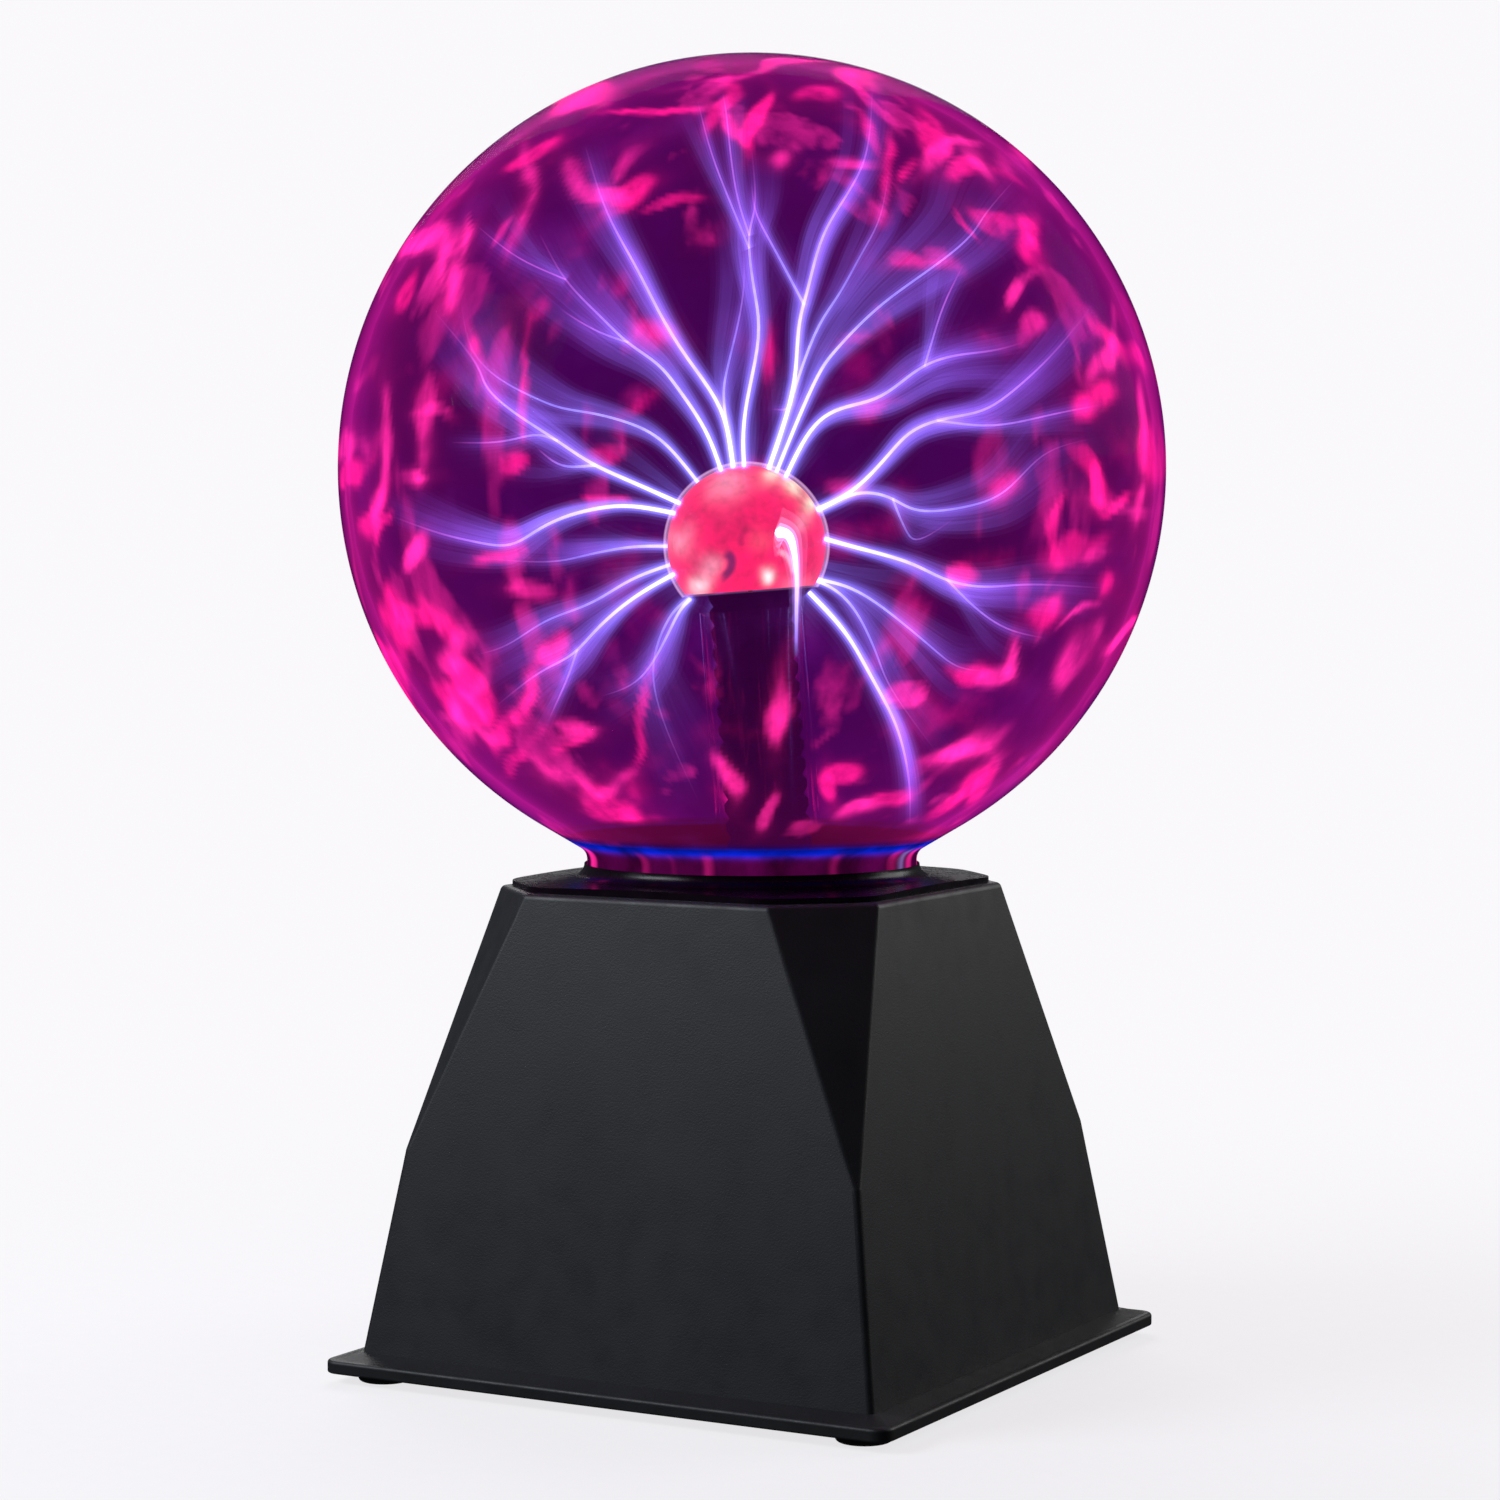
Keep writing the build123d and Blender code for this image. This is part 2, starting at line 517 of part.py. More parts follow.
def make_secondary():
    coil = upright(COIL_RADIUS, COIL_LOW, COIL_HIGH, COIL_LEG_X, CORE_Y)
    coil = fillet(coil.edges().group_by(Axis.Z)[-1], 2.0)
    coil -= block(LEG_WIDTH, LEG_DEPTH, COIL_LOW - 1, COIL_HIGH + 1, COIL_LEG_X, CORE_Y)
    return coil


def make_primary():
    coil = upright(PRIMARY_RADIUS, COIL_LOW + 2, COIL_HIGH - 2, PRIMARY_LEG_X, CORE_Y)
    return coil - block(LEG_WIDTH, LEG_DEPTH, COIL_LOW, COIL_HIGH, PRIMARY_LEG_X, CORE_Y)


def make_heat_sink():
    top = BOARD_TOP + SINK_HEIGHT
    sink = block(SINK_WALL, SINK_WIDTH, BOARD_TOP, top, SINK_X, SINK_Y)
    for i in range(FIN_COUNT):
        y = SINK_Y - SINK_WIDTH / 2 + 1 + i * (SINK_WIDTH - 2) / (FIN_COUNT - 1)
        sink += block(FIN_LENGTH, FIN_THICKNESS, BOARD_TOP, top, SINK_X + (FIN_LENGTH + 1) / 2, y)
    screw_hole = Rot(0, 90, 0) * Cylinder(SHANK_RADIUS, 8)
    return sink - Pos(SINK_X, SINK_Y, BOARD_TOP + TRANSISTOR_SCREW_HEIGHT) * screw_hole


def make_transistor():
    face = SINK_X - SINK_WALL / 2
    body = block(4.6, TRANSISTOR_WIDTH, BOARD_TOP + 5, BOARD_TOP + 14.5, face - 2.3, SINK_Y)
    tab_x = face - TAB_THICKNESS / 2
    tab = block(TAB_THICKNESS, TRANSISTOR_WIDTH, BOARD_TOP + 14.5, BOARD_TOP + 24, tab_x, SINK_Y)
    screw_hole = Rot(0, 90, 0) * Cylinder(CLEARANCE_RADIUS, 6)
    tab -= Pos(face, SINK_Y, BOARD_TOP + TRANSISTOR_SCREW_HEIGHT) * screw_hole
    rows = [SINK_Y + i * PIN_PITCH for i in (-1, 0, 1)]
    legs = [block(0.5, 0.8, BOARD_TOP, BOARD_TOP + 5, face - 2.3, y) for y in rows]
    return body + tab + legs


def make_transistor_screw():
    screw = Rot(0, -90, 0) * pan_screw(PAN_RADIUS, PAN_HEIGHT, SHANK_RADIUS, TRANSISTOR_SCREW_LENGTH)
    face = SINK_X - SINK_WALL / 2 - TAB_THICKNESS
    return Pos(face, SINK_Y, BOARD_TOP + TRANSISTOR_SCREW_HEIGHT) * screw


def make_electrolytics():
    cans = []
    for x in (14, 30):
        can = upright(CAPACITOR_RADIUS, BOARD_TOP, BOARD_TOP + CAPACITOR_HEIGHT)
        can = fillet(can.edges().group_by(Axis.Z)[-1], 0.8)
        cans.append(Pos(x, CAPACITOR_Y, 0) * can)
    return cans


def make_film_capacitors():
    body = fillet(Box(*FILM_SIZE).edges(), 0.8)
    return [Pos(x, FILM_Y, BOARD_TOP + FILM_SIZE[2] / 2) * body for x in (-34, -12)]


def make_control_chip():
    chip = block(CHIP_WIDTH, CHIP_DEPTH, BOARD_TOP + 0.8, BOARD_TOP + 4.2, CHIP_X, CHIP_Y)
    for sy in (-1, 1):
        for i in range(4):
            x = CHIP_X + (i - 1.5) * PIN_PITCH
            chip += block(1.0, 0.9, BOARD_TOP, BOARD_TOP + 2.5, x, CHIP_Y + sy * (CHIP_DEPTH / 2 + 0.3))
    return chip


def make_resistors():
    bodies = []
    for i in range(5):
        body = Rot(90, 0, 0) * Cylinder(RESISTOR_RADIUS, RESISTOR_LENGTH)
        body = fillet(body.edges(), 0.5)
        lead = Rot(90, 0, 0) * Cylinder(RESISTOR_LEAD, 2 * RESISTOR_SPAN + 0.4)
        resistor = body + lead
        rise = RESISTOR_RADIUS + 0.3
        for sy in (-1, 1):
            resistor += Pos(0, sy * RESISTOR_SPAN, -rise / 2) * Cylinder(RESISTOR_LEAD, rise)
        bodies.append(Pos(RESISTOR_X + i * 5, RESISTOR_Y, BOARD_TOP + rise) * resistor)
    return bodies


def make_microphone():
    capsule = upright(4.9, BOARD_TOP + 1, BOARD_TOP + 7.5, MICROPHONE_X, MICROPHONE_Y)
    capsule += upright(4.0, BOARD_TOP, BOARD_TOP + 1, MICROPHONE_X, MICROPHONE_Y)
    return capsule - upright(1.0, BOARD_TOP + 6.5, BOARD_TOP + 8, MICROPHONE_X, MICROPHONE_Y)


# ---------------------------------------------------------------- switch and socket

BEZEL_WIDTH = 15.0
BEZEL_HEIGHT = 21.0
BEZEL_PROUD = 2.0
SWITCH_WIDTH = 12.9
SWITCH_LENGTH = 19.2
SWITCH_DEPTH = 13.0
ROCKER_WIDTH = 10.0
ROCKER_RADIUS = 8.4
ROCKER_PIVOT = -2.0          # height of the pivot over the outer face of the wall
PIN_RADIUS = 0.95
PIN_CLEARANCE = 0.06
BLADE_LENGTH = 8.0
BLADE_ROWS = (-6.5, 0.0, 6.5)    # solder blades, up the face
SOCKET_DEPTH = 11.0
SOCKET_BARREL = 3.95         # radii of the threaded barrel, the bore, the flange and the centre pin
SOCKET_BORE = 3.1
SOCKET_FLANGE = 5.6
SOCKET_PIN = 1.0
NUT_RADIUS = 6.2
NUT_THICKNESS = 2.4
SOCKET_BLADE = 5.0
SOCKET_BLADE_X = 2.2


def make_switch_body():
    body = Pos(0, 0, -SWITCH_DEPTH / 2) * Box(SWITCH_WIDTH, SWITCH_LENGTH, SWITCH_DEPTH)
    bezel = Pos(0, 0, BEZEL_PROUD / 2) * Box(BEZEL_WIDTH, BEZEL_HEIGHT, BEZEL_PROUD)
    bezel = fillet(bezel.edges().filter_by(Axis.Z), 1.2)
    bezel = fillet(bezel.edges().group_by(Axis.Z)[-1], 0.7)
    cavity = Pos(0, 0, -3.5) * Box(ROCKER_WIDTH + 0.8, 2 * ROCKER_RADIUS + 0.8, 11.1)
    pin_bore = Rot(0, 90, 0) * Cylinder(PIN_RADIUS + PIN_CLEARANCE, SWITCH_WIDTH + 1)
    pin_bore = Pos(0, 0, ROCKER_PIVOT) * pin_bore
    return rear_plane(SWITCH_X) * (body + bezel - cavity - pin_bore)


def make_rocker():
    """Rocker pressed to its ON side; the middle of its travel is off and the other side is sound."""
    top_middle = 1.9
    top_end = 3.4
    outline = [(-9, -5), (9, -5), (9, top_end + 0.1), (8.2, top_end), (0, top_middle), (-8.2, top_end),
               (-9, top_end + 0.1)]
    slab = extrude(Plane.YZ * make_face(Polyline(outline, close=True)), ROCKER_WIDTH / 2, both=True)
    round_form = Pos(0, 0, ROCKER_PIVOT) * Rot(0, 90, 0) * Cylinder(ROCKER_RADIUS, ROCKER_WIDTH)
    rocker = slab & round_form
    rocker = fillet(rocker.edges().group_by(Axis.Z)[-1], 0.4)
    rocker += Pos(0, 0, ROCKER_PIVOT) * Rot(0, 90, 0) * Cylinder(PIN_RADIUS, SWITCH_WIDTH - 0.4)
    pivot = Axis((0, 0, ROCKER_PIVOT), (1, 0, 0))
    return rear_plane(SWITCH_X) * rocker.rotate(pivot, ROCKER_STEP)


def make_switch_terminals():
    middle = -SWITCH_DEPTH - BLADE_LENGTH / 2
    blades = [Pos(0, y, middle) * Box(4.8, 0.8, BLADE_LENGTH) for y in BLADE_ROWS]
    return [rear_plane(SWITCH_X) * blade for blade in blades]


def make_socket():
    """Round panel socket for the low-voltage plug."""
    flange = Pos(0, 0, 0.9) * Cylinder(SOCKET_FLANGE, 1.8)
    flange = fillet(flange.edges().group_by(Axis.Z)[-1], 0.6)
    barrel = Pos(0, 0, -SOCKET_DEPTH / 2) * Cylinder(SOCKET_BARREL, SOCKET_DEPTH)
    bore = Pos(0, 0, -3.6) * Cylinder(SOCKET_BORE, 11)
    return rear_plane(SOCKET_X) * (flange + barrel - bore)


def make_socket_pin():
    pin = Pos(0, 0, -5.0) * Cylinder(SOCKET_PIN, 8.2)
    pin = fillet(pin.edges().group_by(Axis.Z)[-1], 0.5)
    return rear_plane(SOCKET_X) * pin


def make_socket_nut():
    hexagon = extrude(RegularPolygon(NUT_RADIUS, 6), -NUT_THICKNESS)
    return rear_plane(SOCKET_X) * (Pos(0, 0, -HOUSING_WALL) * hexagon - Cylinder(SOCKET_BARREL, 30))


def make_socket_terminals():
    middle = -SOCKET_DEPTH - SOCKET_BLADE / 2
    blades = [Pos(sx * SOCKET_BLADE_X, 0, middle) * Box(0.6, 2.4, SOCKET_BLADE) for sx in (-1, 1)]
    return [rear_plane(SOCKET_X) * blade for blade in blades]


# ---------------------------------------------------------------- wiring

def wire(points, radius, bend):
    """A wire of round section along straight runs joined by arcs."""
    path = FilletPolyline(*points, radius=bend)
    start = Vector(*points[0])
    first = Vector(*points[1]) - start
    section = Plane(origin=start, z_dir=first) * Circle(radius)
    return sweep(section, path=path)


def make_high_voltage_lead():
    start = (COIL_LEG_X + 4.5, CORE_Y - 10.6, COIL_HIGH)
    low = lean_point(84.0)
    high = lean_point(LEAD_TOP)
    return wire([start, (start[0], start[1], COIL_HIGH + 14), low, high], LEAD_RADIUS, 9.0)


def make_contact_wire():
    """Bare end of the lead, from the insulation up to the inside of the conductive lining."""
    top = BALL_CENTRE + BALL_RADIUS - BALL_GLASS - LINING
    return leaned(upright(CONTACT_RADIUS, LEAD_TOP, top))


def drop_lead(plane_x, x, y, depth, run):
    """A lead from a solder blade on the rear wall: in along the wall's normal, then down to the board."""
    plane = rear_plane(plane_x)
    tail = plane.from_local_coords((x, y, -depth))
    bend = plane.from_local_coords((x, y, -depth - run))
    foot = (bend.X, bend.Y, BOARD_TOP)
    return wire([(tail.X, tail.Y, tail.Z), (bend.X, bend.Y, bend.Z), foot], THIN_LEAD_RADIUS, 2.5)


def make_switch_leads():
    depth = SWITCH_DEPTH + BLADE_LENGTH
    return [drop_lead(SWITCH_X, 0, y, depth, 5 + 2.3 * i) for i, y in enumerate(BLADE_ROWS)]


def make_socket_leads():
    depth = SOCKET_DEPTH + SOCKET_BLADE
    return [drop_lead(SOCKET_X, sx * SOCKET_BLADE_X, 0, depth, 10) for sx in (-1, 1)]


# ---------------------------------------------------------------- assembly

NODES = {
    "rubber_feet": make_feet,
    "base_plate": make_base_plate,
    "base_screws": make_base_screws,
    "housing": make_housing,
    "neck_cap": make_cap,
    "globe_glass": make_globe,
    "stem_glass": make_stem,
    "exhaust_tip": make_exhaust_tip,
    "electrode_bulb": make_bulb,
    "electrode_lining": make_lining,
    "stem_sleeve": make_sleeve,
    "high_voltage_lead": make_high_voltage_lead,
    "contact_wire": make_contact_wire,
    "neck_gasket": make_gasket,
    "neck_pad": make_neck_pad,
    "neck_cradle": make_cradle,
    "neck_screws": make_neck_screws,
    "circuit_board": make_board,
    "board_screws": make_board_screws,
    "transformer_core": make_core,
    "transformer_saddle": make_core_mount,
    "secondary_coil": make_secondary,
    "primary_coil": make_primary,
    "heat_sink": make_heat_sink,
    "power_transistor": make_transistor,
    "transistor_screw": make_transistor_screw,
    "electrolytic_capacitors": make_electrolytics,
    "film_capacitors": make_film_capacitors,
    "control_chip": make_control_chip,
    "resistors": make_resistors,
    "microphone": make_microphone,
    "switch_body": make_switch_body,
    "switch_rocker": make_rocker,
    "switch_terminals": make_switch_terminals,
    "power_socket": make_socket,
    "socket_pin": make_socket_pin,
    "socket_nut": make_socket_nut,
    "socket_terminals": make_socket_terminals,
    "switch_leads": make_switch_leads,
    "socket_leads": make_socket_leads,
}

os.makedirs("parts", exist_ok=True)
for name, make in NODES.items():
    made = make()
    if isinstance(made, list):
        made = Compound(children=made)
    export_step(made, f"parts/{name}.step")
    print(name, round(made.volume / 1000, 2), "cm3")
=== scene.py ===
import json
import math
import random

import bmesh
import bpy
import numpy as np
from mathutils import Matrix, Vector, noise


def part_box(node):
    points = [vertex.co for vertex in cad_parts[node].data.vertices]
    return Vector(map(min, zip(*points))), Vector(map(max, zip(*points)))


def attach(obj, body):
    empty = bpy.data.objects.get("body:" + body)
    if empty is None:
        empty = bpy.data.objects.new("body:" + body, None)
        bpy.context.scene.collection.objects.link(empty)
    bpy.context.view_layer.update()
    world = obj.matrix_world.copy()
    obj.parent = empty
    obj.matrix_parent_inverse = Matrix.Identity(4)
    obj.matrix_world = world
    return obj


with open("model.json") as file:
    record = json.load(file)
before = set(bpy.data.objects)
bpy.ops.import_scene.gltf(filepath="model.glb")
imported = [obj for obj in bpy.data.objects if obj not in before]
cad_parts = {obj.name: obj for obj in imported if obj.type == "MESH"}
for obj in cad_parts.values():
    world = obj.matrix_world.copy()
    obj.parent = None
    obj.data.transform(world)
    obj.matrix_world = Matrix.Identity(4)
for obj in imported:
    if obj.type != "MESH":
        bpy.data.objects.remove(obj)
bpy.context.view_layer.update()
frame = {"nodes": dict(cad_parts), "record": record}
random.seed(7)
noise.seed_set(7)

# ---------------------------------------------------------------- the view
AZIMUTH = math.radians(29.1)
ELEVATION = math.radians(1.92)
DISTANCE = 0.9087
TARGET = Vector((0, 0, 0.1625))
LENS = 89.77                     # millimetres, like the sensor's width below
SENSOR = 36
SHIFT_X, SHIFT_Y = -0.0013, -0.0381

RIGHT = Vector((math.cos(AZIMUTH), math.sin(AZIMUTH), 0))
LEVEL = math.cos(ELEVATION)
BACK = Vector((math.sin(AZIMUTH) * LEVEL, -math.cos(AZIMUTH) * LEVEL, math.sin(ELEVATION)))
UP = BACK.cross(RIGHT)
EYE = TARGET + BACK * DISTANCE

# ---------------------------------------------------------------- places taken from the frame
glass_low, glass_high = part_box("globe_glass")
GLOBE_RADIUS = (glass_high.x - glass_low.x) / 2
GLOBE_CENTRE = Vector((0, 0, glass_high.z - GLOBE_RADIUS))
bulb_low, bulb_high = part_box("electrode_bulb")
BALL_RADIUS = (bulb_high.x - bulb_low.x) / 2
bulb_middle = (bulb_low + bulb_high) / 2
BALL_CENTRE = Vector((bulb_middle.x, bulb_middle.y, bulb_high.z - BALL_RADIUS))
GLASS_WALL = 0.002
# Glass bends the light so that the gas seems to fill it right up to its outline, so the light on the
# glass is carried by a shell just under the glass's outer surface.
SKIN = 0.00014
GAS_RADIUS = GLOBE_RADIUS - SKIN
GAS_THICKNESS = 0.0026
NECK_RADIUS = 0.0402
NECK_GAS = NECK_RADIUS - SKIN
FILAMENT_REACH = (GLOBE_RADIUS - GLASS_WALL) * 0.985

# The globe's outline as the eye sees it, on a plane one unit in front of the eye.
to_globe = GLOBE_CENTRE - EYE
globe_depth = -to_globe.dot(BACK)
rise_angle = math.atan2(to_globe.dot(UP), globe_depth)
outline_angle = math.asin(GLOBE_RADIUS / to_globe.length)
outline_top = math.tan(rise_angle + outline_angle)
outline_bottom = math.tan(rise_angle - outline_angle)
OUTLINE_X = to_globe.dot(RIGHT) / globe_depth
OUTLINE_Y = (outline_top + outline_bottom) / 2
OUTLINE_RADIUS = (outline_top - outline_bottom) / 2


def sight(u, v):
    """Direction from the eye to a place on the globe's disc: u to the right and v up, in globe radii."""
    return RIGHT * (OUTLINE_X + OUTLINE_RADIUS * u) + UP * (OUTLINE_Y + OUTLINE_RADIUS * v) - BACK


def at_depth(u, v, near):
    """The point seen at (u, v) that lies `near` globe radii on the eye's side of the globe's centre."""
    return EYE + sight(u, v) * (globe_depth - near * GLOBE_RADIUS)


def nearness(point):
    return (globe_depth + (point - EYE).dot(BACK)) / GLOBE_RADIUS


def on_sphere(u, v, radius, side):
    """The point seen at (u, v) on a sphere round the globe's centre: side 1 is near, -1 is far."""
    ray = sight(u, v).normalized()
    along = to_globe.dot(ray)
    miss = (EYE + ray * along - GLOBE_CENTRE).length
    if miss >= radius:
        return GLOBE_CENTRE + (EYE + ray * along - GLOBE_CENTRE).normalized() * radius
    return EYE + ray * (along - side * math.sqrt(radius ** 2 - miss ** 2))


def disc_place(point):
    """The reverse of sight: where on the globe's disc a point is seen."""
    offset = point - EYE
    depth = -offset.dot(BACK)
    u = (offset.dot(RIGHT) / depth - OUTLINE_X) / OUTLINE_RADIUS
    v = (offset.dot(UP) / depth - OUTLINE_Y) / OUTLINE_RADIUS
    return u, v


# ---------------------------------------------------------------- material helpers

NOISE_LOW, NOISE_HIGH = 0.3, 0.7     # where nearly all of a noise texture's values lie
RELIEF_DEPTH = 0.0002


def new_material(name):
    material = bpy.data.materials.new(name)
    material.use_nodes = True
    material.node_tree.nodes.clear()
    return material, material.node_tree.nodes, material.node_tree.links


def noise_node(nodes, links, coordinates, scale, detail, stretch=(1, 1, 1)):
    mapping = nodes.new("ShaderNodeMapping")
    mapping.inputs["Scale"].default_value = stretch
    links.new(coordinates, mapping.inputs["Vector"])
    texture = nodes.new("ShaderNodeTexNoise")
    texture.inputs["Scale"].default_value = scale
    texture.inputs["Detail"].default_value = detail
    links.new(mapping.outputs["Vector"], texture.inputs["Vector"])
    return texture.outputs["Fac"]


def ramp_node(nodes, links, factor, stops):
    """A colour ramp: stops are (place, (r, g, b))."""
    ramp = nodes.new("ShaderNodeValToRGB")
    elements = ramp.color_ramp.elements
    while len(elements) < len(stops):
        elements.new(0.5)
    for element, (place, colour) in zip(elements, stops):
        element.position = place
        element.color = (*colour, 1)
    links.new(factor, ramp.inputs["Fac"])
    return ramp.outputs["Color"]


def range_node(nodes, links, factor, low, high):
    """Stretches the middle of a noise's range over low to high."""
    spread = nodes.new("ShaderNodeMapRange")
    spread.inputs["From Min"].default_value = NOISE_LOW
    spread.inputs["From Max"].default_value = NOISE_HIGH
    spread.inputs["To Min"].default_value = low
    spread.inputs["To Max"].default_value = high
    links.new(factor, spread.inputs["Value"])
    return spread.outputs["Result"]


def finish_look(name, dark, light, rough, grain, bump, patch=60, stretch=(1, 1, 1), **sockets):
    """A moulded, cast or drawn surface: patchy colour and roughness, and fine grain."""
    material, nodes, links = new_material(name)
    shader = nodes.new("ShaderNodeBsdfPrincipled")
    coordinates = nodes.new("ShaderNodeTexCoord").outputs["Object"]
    patches = noise_node(nodes, links, coordinates, patch, 6, stretch)
    hues = ramp_node(nodes, links, patches, [(NOISE_LOW, dark), (NOISE_HIGH, light)])
    links.new(hues, shader.inputs["Base Color"])
    wear = noise_node(nodes, links, coordinates, patch * 2.7, 5, stretch)
    links.new(range_node(nodes, links, wear, *rough), shader.inputs["Roughness"])
    fine = noise_node(nodes, links, coordinates, grain, 3, stretch)
    relief = nodes.new("ShaderNodeBump")
    relief.inputs["Strength"].default_value = bump
    relief.inputs["Distance"].default_value = RELIEF_DEPTH
    links.new(fine, relief.inputs["Height"])
    links.new(relief.outputs["Normal"], shader.inputs["Normal"])
    for socket, value in sockets.items():
        shader.inputs[socket.replace("_", " ")].default_value = value
    output = nodes.new("ShaderNodeOutputMaterial")
    links.new(shader.outputs["BSDF"], output.inputs["Surface"])
    return material


def glass_look(name, tint, gloss, index):
    """Thin clear glass: what is behind shows straight through, under a gloss that grows at the edges."""
    material, nodes, links = new_material(name)
    coordinates = nodes.new("ShaderNodeTexCoord").outputs["Object"]
    smear = noise_node(nodes, links, coordinates, 35, 3)
    clear = nodes.new("ShaderNodeBsdfTransparent")
    tints = ramp_node(nodes, links, smear, [(NOISE_LOW, tint), (NOISE_HIGH, (1, 1, 1))])
    links.new(tints, clear.inputs["Color"])
    shine = nodes.new("ShaderNodeBsdfGlossy")
    shine.inputs["Color"].default_value = (1, 1, 1, 1)
    links.new(range_node(nodes, links, smear, 0.0, 0.04), shine.inputs["Roughness"])
    edge = nodes.new("ShaderNodeFresnel")
    edge.inputs["IOR"].default_value = index
    side = nodes.new("ShaderNodeNewGeometry")
    outside = nodes.new("ShaderNodeMath")
    outside.operation = "SUBTRACT"
    outside.use_clamp = True
    links.new(edge.outputs["Fac"], outside.inputs[0])
    links.new(side.outputs["Backfacing"], outside.inputs[1])
    share = nodes.new("ShaderNodeMath")
    share.operation = "MULTIPLY"
    share.inputs[1].default_value = gloss
    links.new(outside.outputs["Value"], share.inputs[0])
    mix = nodes.new("ShaderNodeMixShader")
    links.new(share.outputs["Value"], mix.inputs["Fac"])
    links.new(clear.outputs["BSDF"], mix.inputs[1])
    links.new(shine.outputs["BSDF"], mix.inputs[2])
    output = nodes.new("ShaderNodeOutputMaterial")
    links.new(mix.outputs["Shader"], output.inputs["Surface"])
    return material


def additive_look(name, flicker_scale):
    """Glowing gas: it adds its painted light to what is behind it, with a faint flicker along it."""
    material, nodes, links = new_material(name)
    paint = nodes.new("ShaderNodeAttribute")
    paint.attribute_name = "paint"
    coordinates = nodes.new("ShaderNodeTexCoord").outputs["Object"]
    flicker = range_node(nodes, links, noise_node(nodes, links, coordinates, flicker_scale, 3), 0.8, 1.2)
    tinted = nodes.new("ShaderNodeVectorMath")
    tinted.operation = "SCALE"
    links.new(paint.outputs["Color"], tinted.inputs["Vector"])
    links.new(flicker, tinted.inputs["Scale"])
    light = nodes.new("ShaderNodeEmission")
    links.new(tinted.outputs["Vector"], light.inputs["Color"])
    clear = nodes.new("ShaderNodeBsdfTransparent")
    both = nodes.new("ShaderNodeAddShader")
    links.new(light.outputs["Emission"], both.inputs[0])
    links.new(clear.outputs["BSDF"], both.inputs[1])
    output = nodes.new("ShaderNodeOutputMaterial")
    links.new(both.outputs["Shader"], output.inputs["Surface"])
    material.cycles.emission_sampling = "NONE"
    return material


def gas_volume(material, colour, density):
    """Even light inside a closed shell, so that it is brightest where the shell is seen edge on."""
    nodes, links = material.node_tree.nodes, material.node_tree.links
    glow = nodes.new("ShaderNodeEmission")
    glow.inputs["Color"].default_value = (*colour, 1)
    glow.inputs["Strength"].default_value = density
    output = next(n for n in nodes if n.type == "OUTPUT_MATERIAL")
    links.new(glow.outputs["Emission"], output.inputs["Volume"])


# ---------------------------------------------------------------- mesh helpers

class Builder:
    """Collects vertices, faces and a linear colour for each vertex, and makes one mesh object of them.

    covers, where given, says how far each vertex hides what is behind it."""

    def __init__(self):
        self.points, self.faces, self.colours = [], [], []
        self.covers = None

    def grid(self, rings, colours, flip=False):
        """Rings of points, each joined round to itself and to the next ring. Returns the first index."""
        first = len(self.points)
        count = len(rings[0])
        for ring, ring_colours in zip(rings, colours):
            self.points.extend(ring)
            self.colours.extend(ring_colours)
        for i in range(len(rings) - 1):
            low = first + i * count
            for j in range(count):
                k = (j + 1) % count
                face = (low + j, low + k, low + count + k, low + count + j)
                self.faces.append(face[::-1] if flip else face)
        return first

    def cap(self, first, count, flip=False):
        """Closes a ring with one face to a middle point."""
        middle = sum((Vector(p) for p in self.points[first:first + count]), Vector()) / count
        self.points.append(middle)
        self.colours.append(self.colours[first])
        top = len(self.points) - 1
        for j in range(count):
            face = (first + j, first + (j + 1) % count, top)
            self.faces.append(face[::-1] if flip else face)

    def build(self, name, material):
        mesh = bpy.data.meshes.new(name)
        mesh.from_pydata([tuple(p) for p in self.points], [], self.faces)
        paint = mesh.attributes.new("paint", "FLOAT_COLOR", "POINT")
        given = np.array([tuple(c) for c in self.colours], np.float32)
        flat = np.ones((len(self.points), 4), np.float32)
        flat[:, :given.shape[1]] = given
        paint.data.foreach_set("color", flat.ravel())
        if self.covers is not None:
            hiding = np.zeros(len(self.points), np.float32)
            hiding[:len(self.covers)] = self.covers
            cover = mesh.attributes.new("cover", "FLOAT", "POINT")
            cover.data.foreach_set("value", hiding)
        mesh.polygons.foreach_set("use_smooth", [True] * len(mesh.polygons))
        mesh.materials.append(material)
        mesh.update()
        piece = bpy.data.objects.new(name, mesh)
        bpy.context.scene.collection.objects.link(piece)
        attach(piece, "ball")
        return piece


def tube(builder, line, radii, colours, sides):
    """A closed tube along a line of points."""
    rings, ring_colours = [], []
    side = None
    for i, point in enumerate(line):
        ahead = (line[min(i + 1, len(line) - 1)] - line[max(i - 1, 0)]).normalized()
        if side is None:
            side = ahead.orthogonal().normalized()
        side = (side - ahead * side.dot(ahead)).normalized()
        other = ahead.cross(side)
        ring = []
        for j in range(sides):
            turn = 2 * math.pi * j / sides
            ring.append(point + (side * math.cos(turn) + other * math.sin(turn)) * radii[i])
        rings.append(ring)
        ring_colours.append([colours[i]] * sides)
    first = builder.grid(rings, ring_colours)
    builder.cap(first, sides, flip=True)
    builder.cap(first + (len(rings) - 1) * sides, sides)


def blend3(a, b, t):
    return tuple(x + (y - x) * t for x, y in zip(a, b))


def smooth(x, low, high):
    t = np.clip((x - low) / (high - low), 0, 1)
    return t * t * (3 - 2 * t)


# ---------------------------------------------------------------- the discharge: filaments

